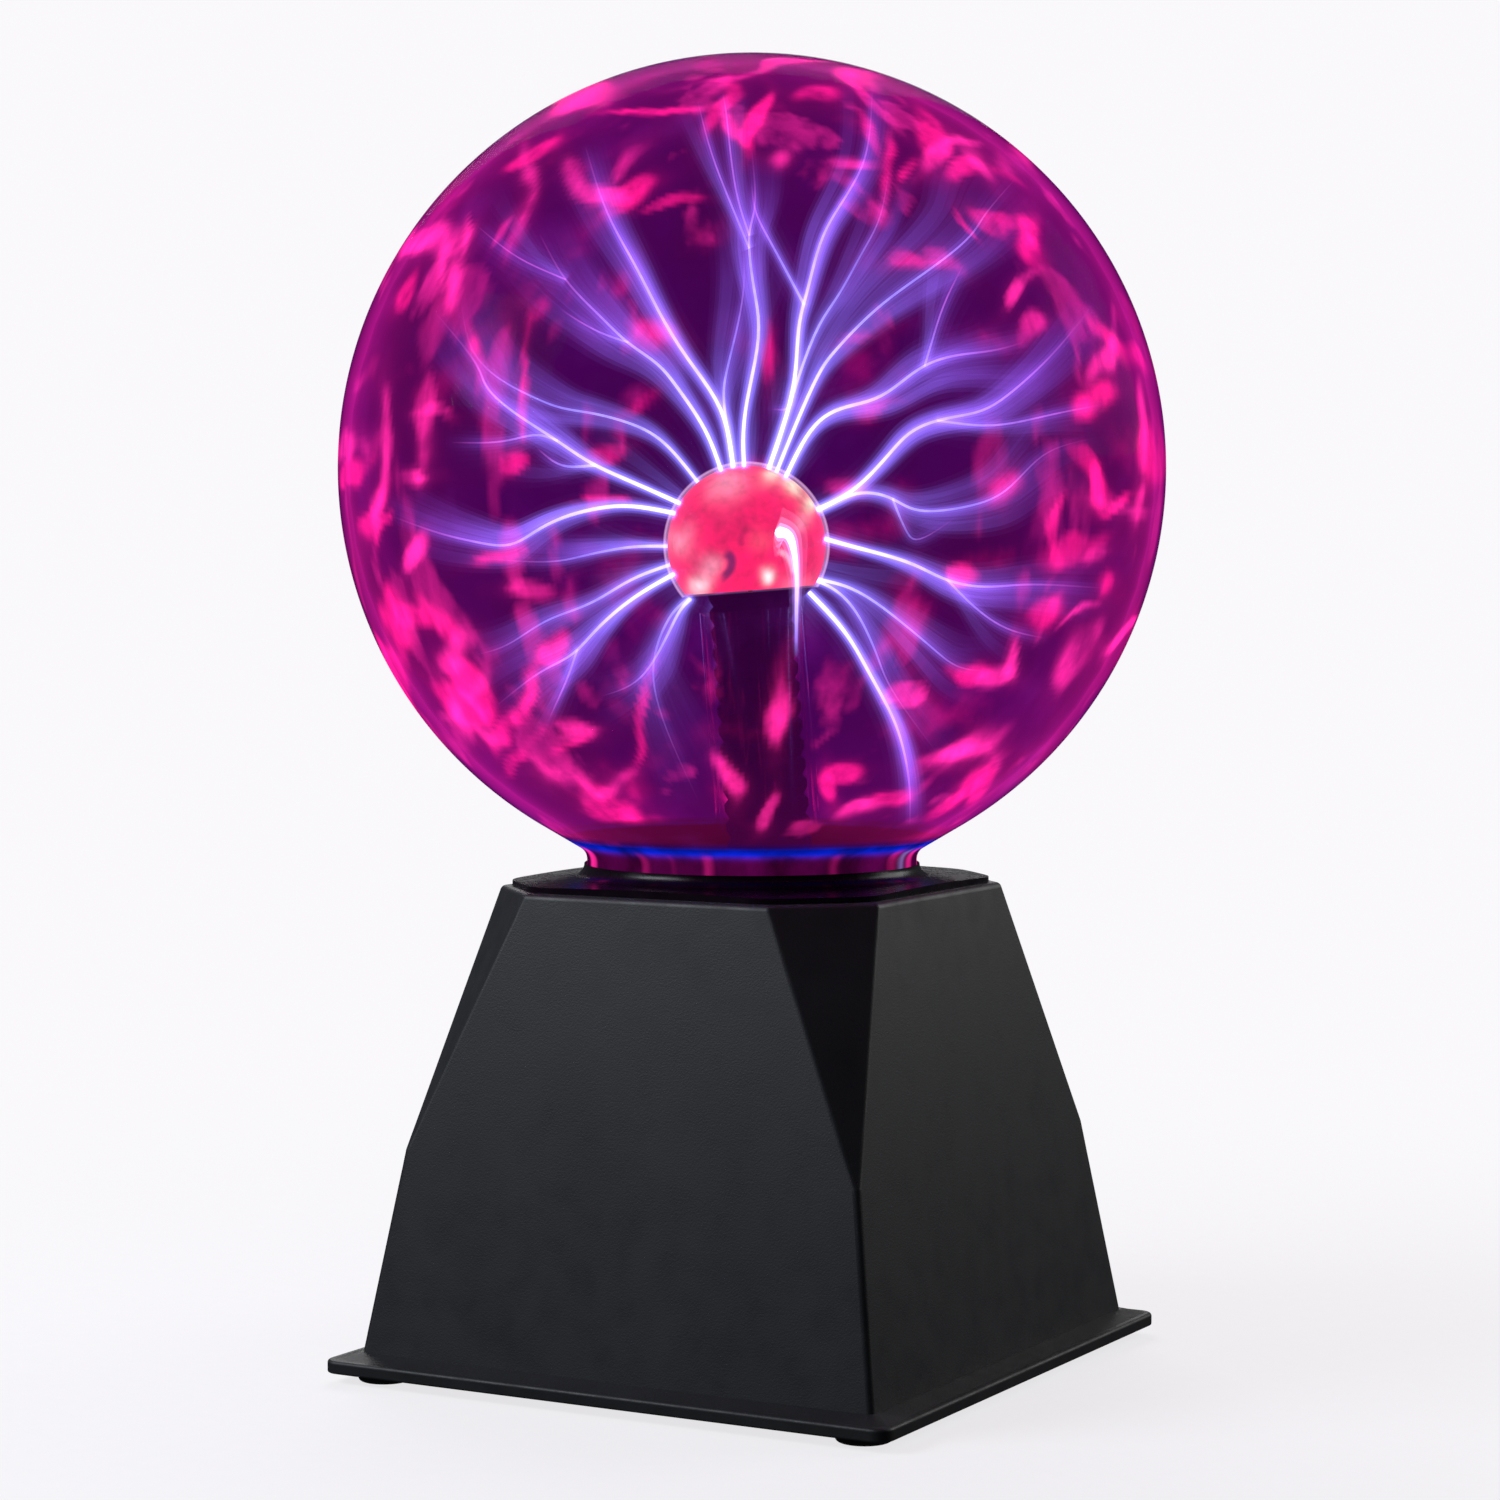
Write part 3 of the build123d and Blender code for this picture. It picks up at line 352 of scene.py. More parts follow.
# Each filament: side (1 near, -1 far), brightness, how far it spreads at its end, its way across the
# globe's disc in globe radii, and its branches.
FILAMENTS = [
    (1, 1.0, 1.0, [(-.07, .14), (-.18, .29), (-.27, .47), (-.35, .61), (-.40, .77)], []),
    (1, 0.9, 0.8, [(-.02, .03), (-.02, .13), (.02, .32), (0, .45), (-.01, .56), (.01, .63), (0, .76)],
     [[(-.01, .56), (-.04, .66), (-.06, .84), (-.07, .90)], [(-.02, .52), (-.09, .73), (-.13, .88)]]),
    (-1, 0.55, 2.0, [(-.07, .16), (-.06, .24), (-.02, .41), (-.02, .52)], []),
    (1, 1.0, 0.8, [(.05, .03), (.10, .18), (.11, .34), (.13, .42), (.17, .56), (.23, .66), (.28, .76),
                   (.29, .93)],
     [[(.12, .40), (.07, .50), (.01, .60), (0, .68)], [(.11, .17), (.09, .14), (.05, .14)]]),
    (-1, 0.45, 1.0, [(.14, .30), (.20, .40), (.26, .51), (.31, .60), (.33, .72)], []),
    (1, 0.75, 2.8, [(.15, .21), (.20, .28), (.29, .37), (.39, .45), (.52, .55), (.56, .61), (.63, .69)], []),
    (1, 0.95, 1.6, [(.10, .01), (.14, .09), (.21, .14), (.31, .17), (.40, .24), (.48, .27), (.58, .28),
                    (.65, .30)],
     [[(.42, .25), (.45, .37), (.51, .49)]]),
    (1, 1.0, 1.2, [(.20, -.08), (.26, -.04), (.33, .03), (.39, .09), (.48, .12), (.57, .14), (.66, .21),
                   (.74, .29), (.82, .39)],
     [[(.45, .11), (.58, .10), (.73, .13), (.84, .15)]]),
    (-1, 0.6, 1.8, [(.25, -.06), (.33, -.07), (.39, -.10), (.48, -.10), (.58, -.08), (.64, -.03), (.71, .04),
                    (.82, .07)],
     [[(.34, -.08), (.37, -.15), (.40, -.18), (.49, -.12)]]),
    (1, 0.95, 1.2, [(.20, -.17), (.28, -.20), (.39, -.23), (.47, -.27), (.56, -.29), (.67, -.28),
                    (.84, -.29)],
     [[(.47, -.27), (.54, -.34), (.61, -.39), (.70, -.41)]]),
    (-1, 0.6, 1.6, [(.16, -.27), (.24, -.29), (.33, -.35), (.42, -.42), (.49, -.48), (.56, -.49)], []),
    (-1, 0.55, 1.6, [(.21, -.30), (.26, -.36), (.30, -.45), (.33, -.53), (.44, -.68)], []),
    (1, 1.0, 0.6, [(.15, -.31), (.22, -.39), (.28, -.49), (.33, -.58), (.36, -.66), (.38, -.76),
                   (.38, -.86)], []),
    (-1, 0.6, 1.6, [(-.12, -.29), (-.18, -.35), (-.22, -.44), (-.28, -.52), (-.36, -.55)], []),
    (1, 0.95, 1.2, [(-.22, -.27), (-.30, -.32), (-.37, -.38), (-.43, -.45), (-.51, -.49),
                    (-.61, -.57)],
     [[(-.42, -.44), (-.45, -.52), (-.49, -.61)]]),
    (-1, 0.55, 1.6, [(-.22, -.24), (-.29, -.27), (-.39, -.33), (-.50, -.37), (-.59, -.43),
                     (-.66, -.45)], []),
    (-1, 0.5, 1.8, [(-.22, -.19), (-.30, -.19), (-.39, -.21), (-.48, -.23), (-.64, -.22)], []),
    (1, 0.95, 1.0, [(-.21, -.10), (-.31, -.09), (-.42, -.11), (-.51, -.15), (-.58, -.19), (-.66, -.18),
                    (-.75, -.16), (-.86, -.12)], []),
    (1, 0.95, 1.6, [(-.20, -.07), (-.30, -.03), (-.39, .01), (-.47, .06), (-.56, .12), (-.64, .19),
                    (-.66, .25), (-.76, .37)],
     [[(-.38, .01), (-.46, 0), (-.52, .05)], [(-.47, .06), (-.53, .08), (-.62, .06), (-.72, .06)]]),
    (-1, 0.6, 1.8, [(-.15, -.01), (-.20, .05), (-.27, .10), (-.37, .13), (-.46, .14), (-.53, .17),
                    (-.62, .22), (-.68, .29), (-.70, .40)], []),
    (1, 0.9, 2.0, [(-.08, .01), (-.11, .09), (-.18, .19), (-.23, .25), (-.30, .30), (-.37, .37), (-.45, .45),
                   (-.51, .56)],
     [[(-.30, .30), (-.38, .33), (-.46, .38)], [(-.45, .45), (-.56, .50), (-.66, .58)]]),
    (1, 0.3, 2.0, [(-.20, -.36), (-.24, -.47), (-.22, -.60), (-.13, -.80)], []),
]
# The short bright arc that leaves the ball's front and hangs down beside the stem.
HOOK = [(.056, -.154), (.088, -.164), (.102, -.206), (.108, -.27), (.107, -.36), (.106, -.458)]
HOOK_RADIUS = 0.0015
HOOK_SHELLS = [(1.7, .3), (2.8, .12), (4.5, .05)]
HOOK_WHITE = (1.0, .80, .95)
HOOK_PINK = (1.0, .45, .8)

# Soft light is made of tubes one round the other: (radius as a multiple, brightness).
CORE_RADIUS = 0.00034
GLOW_SHELLS = [(1.8, .32), (2.8, .20), (4.2, .11), (6.2, .052), (9.0, .022), (13.0, .008)]
VEIL_RADIUS = 0.0008
VEIL_SHELLS = [(0.9, .12), (1.5, .065), (2.3, .026)]
GLOW_SIDES, VEIL_SIDES, HOOK_SIDES = 8, 6, 10
WANDER_SCALE = 48
WANDER = 0.0007
SMOOTHING_PASSES = 8
BRUSHES = 46                     # short soft strands round the ball
BRUSH_STEPS = 9
WHITE_VIOLET = (.80, .74, 1.0)
VIOLET = (.30, .27, 1.0)
MAGENTA = (.80, .08, .62)
GLOW_BLUE = (.20, .18, .90)
GLOW_PURPLE = (.30, .08, .85)


def curve_through(points, steps):
    """A Catmull-Rom line through the points."""
    ends = [points[0] * 2 - points[1], *points, points[-1] * 2 - points[-2]]
    line = []
    for i in range(1, len(ends) - 2):
        a, b, c, d = ends[i - 1:i + 3]
        for k in range(steps):
            t = k / steps
            line.append(0.5 * (2 * b + (c - a) * t + (2 * a - 5 * b + 4 * c - d) * t ** 2
                               + (3 * b - a - 3 * c + d) * t ** 3))
    line.append(points[-1])
    return line


def route(places, side, start_nearness):
    """The filament's line in space: from a given depth out to the glass."""
    gaps = [(Vector(b) - Vector(a)).length for a, b in zip(places, places[1:])]
    whole = sum(gaps)
    end_nearness = nearness(on_sphere(*places[-1], FILAMENT_REACH, side))
    points, gone = [], 0.0
    for i, place in enumerate(places):
        gone += gaps[i - 1] if i else 0
        share = (gone / whole) ** 1.15
        points.append(at_depth(*place, start_nearness + (end_nearness - start_nearness) * share))
    line = curve_through(points, 6)
    for i, point in enumerate(line):
        t = i / (len(line) - 1)
        wander = noise.noise_vector(point * WANDER_SCALE) * WANDER
        line[i] = point + wander * math.sin(math.pi * min(t * 1.2, 1))
    for _ in range(SMOOTHING_PASSES):
        line[1:-1] = [(a + b * 2 + c) / 4 for a, b, c in zip(line, line[1:], line[2:])]
    return line


def lay_filament(core, glow, line, bright, spread, whole_from=0.0):
    """Core and glow shells along one line. whole_from is how far along a filament a branch begins."""
    count = len(line)
    ages = [whole_from + (1 - whole_from) * i / (count - 1) for i in range(count)]
    fade = [min(1.0, (1 - i / (count - 1)) * 3.0 + 0.04) for i in range(count)]
    core_radii = [CORE_RADIUS * (1.45 - 0.95 * t) * (0.6 + 0.4 * bright) for t in ages]
    core_colours = []
    for t, f in zip(ages, fade):
        hue = blend3(WHITE_VIOLET, VIOLET, min(1, t * 1.9))
        if t >= 0.6:
            hue = blend3(VIOLET, MAGENTA, (t - 0.6) / 0.4)
        core_colours.append(tuple(c * bright * f * (1.0 - 0.6 * t) * 0.75 for c in hue))
    tube(core, line, core_radii, core_colours, GLOW_SIDES)
    for factor, weight in GLOW_SHELLS:
        radii, colours = [], []
        for t, f in zip(ages, fade):
            radii.append(CORE_RADIUS * factor * (1.15 - 0.25 * t) * (1 + 0.8 * spread * t ** 2.2))
            thinning = 1 / (1 + 0.7 * spread * t ** 2.2)
            hue = blend3(GLOW_BLUE, GLOW_PURPLE, t ** 1.5)
            colours.append(tuple(c * weight * bright * f * thinning * 0.55 for c in hue))
        tube(glow, line, radii, colours, GLOW_SIDES)


def lay_veils(veils, line, bright, spread, count=6):
    """Soft strands beside a filament that fan out towards the glass."""
    ends = len(line) - 1
    along = (line[-1] - line[0]).normalized()
    for _ in range(count):
        anywhere = Vector((random.uniform(-1, 1), random.uniform(-1, 1), random.uniform(-1, 1)))
        aside = along.cross(anywhere).normalized()
        reach = random.uniform(0.35, 1.0) * (0.0035 + 0.0048 * spread)
        power = random.uniform(0.4, 1.0)
        strand = [p + aside * reach * ((i / ends) ** 1.25) for i, p in enumerate(line)]
        for factor, weight in VEIL_SHELLS:
            radii, colours = [], []
            for i in range(ends + 1):
                t = i / ends
                radii.append(VEIL_RADIUS * factor * (1 + 1.15 * spread * t ** 1.6))
                fade = min(1.0, (1 - t) * 2.4 + 0.02) * (1 / (1 + 0.5 * spread * t))
                hue = blend3(GLOW_BLUE, GLOW_PURPLE, t ** 1.3)
                colours.append(tuple(c * weight * bright * power * fade for c in hue))
            tube(veils, strand, radii, colours, VEIL_SIDES)


def lay_corona(veils):
    """Short soft brushes round the ball, apart from its front, where they would cloud it."""
    steps = [i / BRUSH_STEPS for i in range(BRUSH_STEPS + 1)]
    for _ in range(BRUSHES):
        height = random.uniform(-0.75, 1)
        turn = random.uniform(0, 2 * math.pi)
        level = math.sqrt(1 - height ** 2)
        away = Vector((level * math.cos(turn), level * math.sin(turn), height))
        if away.dot(BACK) > 0.3:
            continue
        bend = Vector((random.uniform(-1, 1), random.uniform(-1, 1), random.uniform(-0.2, 1))) * 0.006
        reach = random.uniform(0.5, 1.5) * BALL_RADIUS
        strand = [BALL_CENTRE + away * (BALL_RADIUS * 0.99 + reach * t) + bend * t ** 2 for t in steps]
        for factor, weight in VEIL_SHELLS:
            radii = [VEIL_RADIUS * factor * (1.1 + 2.0 * t) for t in steps]
            colours = [tuple(c * weight * 0.55 * (1 - t) ** 1.3 for c in GLOW_BLUE) for t in steps]
            tube(veils, strand, radii, colours, VEIL_SIDES)


def make_filaments():
    core, glow, veils = Builder(), Builder(), Builder()
    ball_place = Vector(disc_place(BALL_CENTRE))
    ball_size = BALL_RADIUS / GLOBE_RADIUS
    for side, bright, spread, places, branches in FILAMENTS:
        away = (Vector(places[0]) - ball_place).normalized()
        foot = ball_place + away * ball_size * 0.93
        near = nearness(BALL_CENTRE) + side * ball_size * 0.37
        way = [p for p in places if (Vector(p) - ball_place).length > ball_size * 1.12]
        line = route([tuple(foot), *way], side, near)
        lay_filament(core, glow, line, bright, spread)
        lay_veils(veils, line, bright, spread)
        seen = [Vector(disc_place(p)) for p in line]
        for branch in branches:
            joint = min(range(len(line)), key=lambda i: (seen[i] - Vector(branch[0])).length)
            begin = joint / (len(line) - 1)
            twig = route([tuple(seen[joint]), *branch[1:]], side, nearness(line[joint]))
            lay_filament(core, glow, twig, bright * 0.7, spread, begin)
            lay_veils(veils, twig, bright * 0.6, spread, 1)
    lay_corona(veils)
    hook = [at_depth(u, v, nearness(BALL_CENTRE) + ball_size * 1.04) for u, v in HOOK]
    hook_line = curve_through(hook, 9)
    ages = [i / (len(hook_line) - 1) for i in range(len(hook_line))]
    swell = [HOOK_RADIUS * (0.22 + 0.78 * (1 - t) ** 2.2) * min(1, 0.3 + t * 14) for t in ages]
    fading = [min(1, (1 - t) * 3) for t in ages]
    hot = []
    for t, f in zip(ages, fading):
        hot.append(tuple(c * f for c in blend3(HOOK_WHITE, VIOLET, min(1, t * 1.6))))
    tube(core, hook_line, swell, hot, HOOK_SIDES)
    for factor, weight in HOOK_SHELLS:
        halo = []
        for t, f in zip(ages, fading):
            halo.append(tuple(c * weight * f for c in blend3(HOOK_PINK, GLOW_BLUE, t)))
        tube(glow, hook_line, [r * factor for r in swell], halo, HOOK_SIDES)
    core.build("plasma_filaments", additive_look("filament_light", 300))
    glow.build("plasma_glow", additive_look("glow_light", 120))
    veils.build("plasma_veils", additive_look("veil_light", 70))


# ---------------------------------------------------------------- the discharge: light on the glass

PINK = (1.0, .022, .30)
RED = (.88, .008, .18)
VIOLET_SPOT = (.50, .05, .80)
# Bright patches where the discharge meets the glass: place on the disc, length and width (all in globe
# radii), turn in degrees, side, brightness.
PATCHES = [
    (-.72, .47, .10, .05, 75, 1, 1.0), (-.85, .41, .08, .04, 60, -1, .9), (-.54, .65, .13, .035, 85, 1, .9),
    (-.52, .38, .07, .05, 60, -1, .7), (-.54, .25, .12, .02, 90, -1, .8), (-.41, .89, .08, .05, 30, 1, .8),
    (-.24, .86, .13, .02, 5, -1, .8), (-.28, .78, .07, .03, 50, 1, .7), (-.29, .64, .10, .05, 20, -1, .9),
    (-.16, .61, .10, .02, 10, -1, .5), (-.27, .42, .05, .05, 80, -1, .5), (-.21, .31, .05, .07, 0, -1, .6),
    (-.14, .93, .06, .03, 20, 1, .7), (0, .95, .22, .02, 0, 1, .8), (.01, .81, .10, .03, 90, -1, .9),
    (.06, .80, .04, .03, 0, 1, .8), (.15, .89, .08, .06, 20, -1, .7), (.29, .90, .06, .04, 0, 1, .8),
    (.31, .70, .12, .03, 80, -1, .8), (.42, .75, .08, .05, 40, 1, .9), (.51, .73, .05, .04, 0, -1, .8),
    (.64, .71, .07, .04, -45, 1, .7), (.62, .60, .09, .03, -30, -1, .8), (.38, .52, .08, .03, -10, -1, .8),
    (.44, .50, .06, .03, -20, 1, .6), (.64, .44, .07, .03, 50, 1, .9), (.53, .31, .05, .05, 0, -1, .8),
    (.68, .33, .05, .06, 0, 1, .8), (.82, .26, .12, .035, 70, 1, .9), (.80, .15, .06, .05, 0, -1, .9),
    (.92, .12, .12, .03, 85, 1, .8), (.29, .31, .08, .03, 20, -1, .5), (.28, .13, .06, .03, 0, -1, .5),
    (.23, -.04, .06, .04, 0, 1, .6), (.06, .25, .12, .035, 85, -1, .6), (-.80, .10, .12, .04, 85, 1, .9),
    (-.58, .06, .05, .05, 0, -1, .8), (-.93, .02, .18, .03, 88, 1, .8), (-.90, -.10, .10, .03, 80, -1, .8),
    (-.36, .05, .06, .03, 0, -1, .5), (-.29, .17, .06, .03, 30, -1, .5), (-.36, -.09, .08, .02, 0, -1, .6),
    (-.60, -.20, .06, .03, 0, -1, .8), (-.55, -.29, .07, .03, 10, 1, .7), (-.82, -.21, .06, .04, 60, 1, 1.0),
    (-.82, -.34, .06, .04, 70, -1, .8), (-.70, -.43, .06, .05, 0, 1, 1.0), (-.50, -.43, .05, .05, 0, -1, .8),
    (-.70, -.57, .08, .06, -30, -1, .9), (-.65, -.62, .09, .035, -50, 1, .9),
    (-.41, -.60, .07, .04, -20, 1, .8), (-.24, -.58, .15, .025, 85, -1, .6),
    (-.47, -.74, .09, .04, -35, 1, .8), (-.32, -.77, .08, .05, -20, -1, .8),
    (.50, -.22, .05, .04, 0, -1, .8), (.38, -.51, .05, .04, 0, 1, 1.0), (.53, -.46, .06, .04, 0, -1, .8),
    (.60, -.48, .05, .05, 0, 1, .7), (.70, -.33, .07, .05, 30, -1, .8), (.75, -.47, .10, .05, 60, 1, .9),
    (.79, -.21, .06, .04, 0, 1, .9), (.73, -.11, .10, .02, 85, -1, .7), (.60, -.04, .05, .06, 0, -1, .8),
    (.90, -.08, .09, .03, 80, 1, .8), (.84, -.29, .06, .03, 70, -1, .8), (.51, -.70, .09, .05, 20, 1, .8),
    (.46, -.82, .07, .04, 30, -1, .8), (.27, -.85, .08, .03, 15, 1, .8), (.21, -.71, .07, .04, 0, -1, .7),
    (.66, -.69, .10, .03, 45, 1, .8), (.09, -.56, .15, .035, 79, 1, .9),
]


ARC_STEPS = 190
BEND_STEPS = 8
NECK_BEND = 0.0021               # size of the bend between the globe and its neck
NECK_STEP = 0.0012


def gas_profile(radius, neck):
    """(radius, height) points of the gas wall from the pole down into the neck."""
    shoulder = GLOBE_RADIUS * 0.505 - (GLOBE_RADIUS - radius) * 0.5
    end_turn = math.pi - math.asin(shoulder / radius)
    arc = [end_turn * i / ARC_STEPS for i in range(ARC_STEPS + 1)]
    points = [(radius * math.sin(a), GLOBE_CENTRE.z + radius * math.cos(a)) for a in arc]
    last = Vector(points[-1])
    slope = (last - Vector(points[-2])).normalized()
    corner = last + slope * ((neck - last.x) / slope.x)
    start = corner - slope * NECK_BEND
    below = corner - Vector((0, NECK_BEND))
    points += [tuple(last.lerp(start, i / 5)) for i in range(1, 5)]
    for i in range(BEND_STEPS + 1):
        t = i / BEND_STEPS
        points.append(tuple(start * (1 - t) ** 2 + corner * 2 * t * (1 - t) + below * t ** 2))
    points += [(neck, below.y - NECK_STEP * i) for i in range(1, 11)]
    return points


RIM_PATCHES = 64


def rim_patches():
    """Patches strewn over the outer part of the disc, where the filaments' ends crowd together."""
    strewn = []
    for _ in range(RIM_PATCHES):
        turn = random.uniform(0, 2 * math.pi)
        out = random.uniform(0.76, 0.985)
        if math.radians(235) < turn < math.radians(305):      # clear of the neck
            out = min(out, 0.86)
        if out > 0.9:
            lie = math.degrees(turn) + 90 + random.uniform(-35, 35)
        else:
            lie = random.uniform(0, 180)
        size = random.uniform(0.045, 0.11)
        strewn.append((out * math.cos(turn), out * math.sin(turn), size, size * random.uniform(0.3, 0.6),
                       lie, random.choice((1, -1)), random.uniform(0.5, 0.95)))
    return strewn


def paint_wall(points):
    """The light that each point of the gas wall gives, as linear colour."""
    spots = np.array([tuple(p) for p in points])
    offset = spots - np.array(EYE)
    depth = -(offset @ np.array(BACK))
    u = (offset @ np.array(RIGHT) / depth - OUTLINE_X) / OUTLINE_RADIUS
    v = (offset @ np.array(UP) / depth - OUTLINE_Y) / OUTLINE_RADIUS
    outward = spots - np.array(GLOBE_CENTRE)
    near = np.einsum("ij,ij->i", outward, offset) < 0
    warp = np.array([tuple(noise.noise_vector(Vector(p) * 28)) for p in spots])
    fine = np.array([tuple(noise.noise_vector(Vector(p) * 90)) for p in spots])
    cloud = np.array([noise.fractal(Vector(p) * 32, 1.0, 2.1, 5) for p in spots])
    drawn = spots * np.array((60, 60, 22))
    streak = np.array([noise.fractal(Vector(p), 1.0, 2.0, 4) for p in drawn])
    colour = np.zeros((len(spots), 3))
    ragged = 1 + 0.9 * cloud + 0.5 * fine[:, 2]
    for pu, pv, length, width, turn, side, bright in PATCHES + rim_patches():
        angle = math.radians(turn)
        du = u - pu + 0.075 * warp[:, 0] + 0.022 * fine[:, 0]
        dv = v - pv + 0.075 * warp[:, 1] + 0.022 * fine[:, 1]
        along = (du * math.cos(angle) + dv * math.sin(angle)) / length
        across = (dv * math.cos(angle) - du * math.sin(angle)) / (width * 0.72)
        soft = np.exp(-(along ** 2 + across ** 2)) * (near if side > 0 else ~near)
        crisp = smooth(soft * ragged, 0.30, 0.95)
        mask = (0.95 * crisp + 0.20 * soft) * bright
        tint = np.array(PINK if side > 0 else RED)
        colour += mask[:, None] * tint
    haze = smooth(cloud, 0.35, 0.95)[:, None]
    colour += haze * np.array(RED) * 0.20
    wisps = smooth(streak, 0.42, 0.72)[:, None]
    colour += wisps * np.array(PINK) * 0.30
    violet = smooth(-cloud, 0.25, 0.9)[:, None]
    colour += violet * np.array(VIOLET_SPOT) * 0.05
    return colour


BAND_HEIGHT = 0.1265             # where the glass turns from the shoulder into the neck
BAND_SPREAD = 0.0012
# Painted refracted light: the deep blue that the curved glass at the neck's root bends towards the eye.
BAND_REFRACTED_BLUE = (0.0, .014, .52)
STREAK_TURN = math.radians(62)   # how far round from the front the lavender reflection stands
STREAK_WIDTH = 0.035             # radians
# Painted reflection: the colour of the lavender streak in the neck glass.
LAVENDER_REFLECTION = (.32, .22, .62)
# Painted shade: the faint magenta of the opaque dark sheet that covers the neck below the band.
NECK_SHADE_TINT = (.060, .001, .040)


def paint_neck(colour, points):
    """Painted light at the neck: a thin deep blue band of painted refracted light round its root, and below
    it an opaque dark sheet of painted shade with painted reflections in upright streaks.

    Returns the cover too: how far each point hides what is behind it."""
    spots = np.array([tuple(p) for p in points])
    height = spots[:, 2]
    turn = np.arctan2(spots[:, 1], spots[:, 0])
    # Painted refracted light: the thin blue band round the root of the neck.
    band = np.exp(-((height - BAND_HEIGHT) / BAND_SPREAD) ** 2)
    # Painted shade: below the band the wall turns into an opaque dark sheet that hides what lies behind it.
    below = 1 - smooth(height, BAND_HEIGHT - 0.0014, BAND_HEIGHT)
    cover = 1 - smooth(height, BAND_HEIGHT + 0.0012, BAND_HEIGHT + 0.0026)
    colour *= (1 - np.maximum(cover, below))[:, None]
    colour += band[:, None] * np.array(BAND_REFRACTED_BLUE)
    # Painted reflections: pink upright streaks in the neck glass, and one lavender streak.
    ripples = np.array([noise.noise(Vector((math.cos(t) * 5, math.sin(t) * 5, 2.0))) for t in turn])
    pink = smooth(ripples, 0.04, 0.34)
    streak_place = BACK * math.cos(STREAK_TURN) + RIGHT * math.sin(STREAK_TURN)
    lavender = np.exp(-((turn - math.atan2(streak_place.y, streak_place.x)) / STREAK_WIDTH) ** 2)
    colour += (below * pink)[:, None] * np.array(PINK) * 0.80
    colour += (below * lavender)[:, None] * np.array(LAVENDER_REFLECTION) * 0.6
    colour += (below * cover)[:, None] * np.array(NECK_SHADE_TINT)
    return colour, cover


OUTER_SIDES, INNER_SIDES = 400, 80
INNER_SKIP = 8                   # the unpainted inner surface takes one in so many of the profile's points


def make_wall():
    """A closed shell of gas under the glass's outer surface, seen from both of its sides."""
    outer_profile = gas_profile(GAS_RADIUS, NECK_GAS)
    inner_profile = gas_profile(GAS_RADIUS - GAS_THICKNESS, NECK_GAS - GAS_THICKNESS)
    builder = Builder()

    def rings(profile, count):
        turns = [2 * math.pi * j / count for j in range(count)]
        return [[Vector((r * math.cos(a), r * math.sin(a), z)) for a in turns] for r, z in profile]

    outer = rings(outer_profile[2:], OUTER_SIDES)
    flat = [p for ring in outer for p in ring]
    colour = paint_wall(flat)
    colour, builder.covers = paint_neck(colour, flat)
    colour = np.hstack([colour, np.ones((len(colour), 1))])
    colours = [colour[i * OUTER_SIDES:(i + 1) * OUTER_SIDES].tolist() for i in range(len(outer))]
    first = builder.grid(outer, colours, flip=True)
    builder.cap(first, OUTER_SIDES)
    inner = rings(inner_profile[INNER_SKIP::INNER_SKIP] + [inner_profile[-1]], INNER_SIDES)
    blank = [[(0, 0, 0, 0)] * INNER_SIDES for _ in inner]
    second = builder.grid(inner, blank)
    builder.cap(second, INNER_SIDES, flip=True)
    outer_end = first + (len(outer) - 1) * OUTER_SIDES
    inner_end = second + (len(inner) - 1) * INNER_SIDES
    step = OUTER_SIDES // INNER_SIDES
    for j in range(INNER_SIDES):
        k = (j + 1) % INNER_SIDES
        edge = [outer_end + (j * step + s) % OUTER_SIDES for s in range(step + 1)]
        builder.faces.append((inner_end + k, inner_end + j, *edge))
    return builder


# Dark purple of the wall's opaque far side: partly the gas's own faint glow, partly painted shade in place
# of what lies behind the globe.
GAS_GLOW_AND_PAINTED_SHADE = [(0.3, (0, 0, .040)), (0.55, (.002, 0, .065)), (0.75, (.045, .001, .11))]
NEAR_STRENGTH = 0.9
RIM_GAS = (1.0, .02, .42)
RIM_DENSITY = 9.0


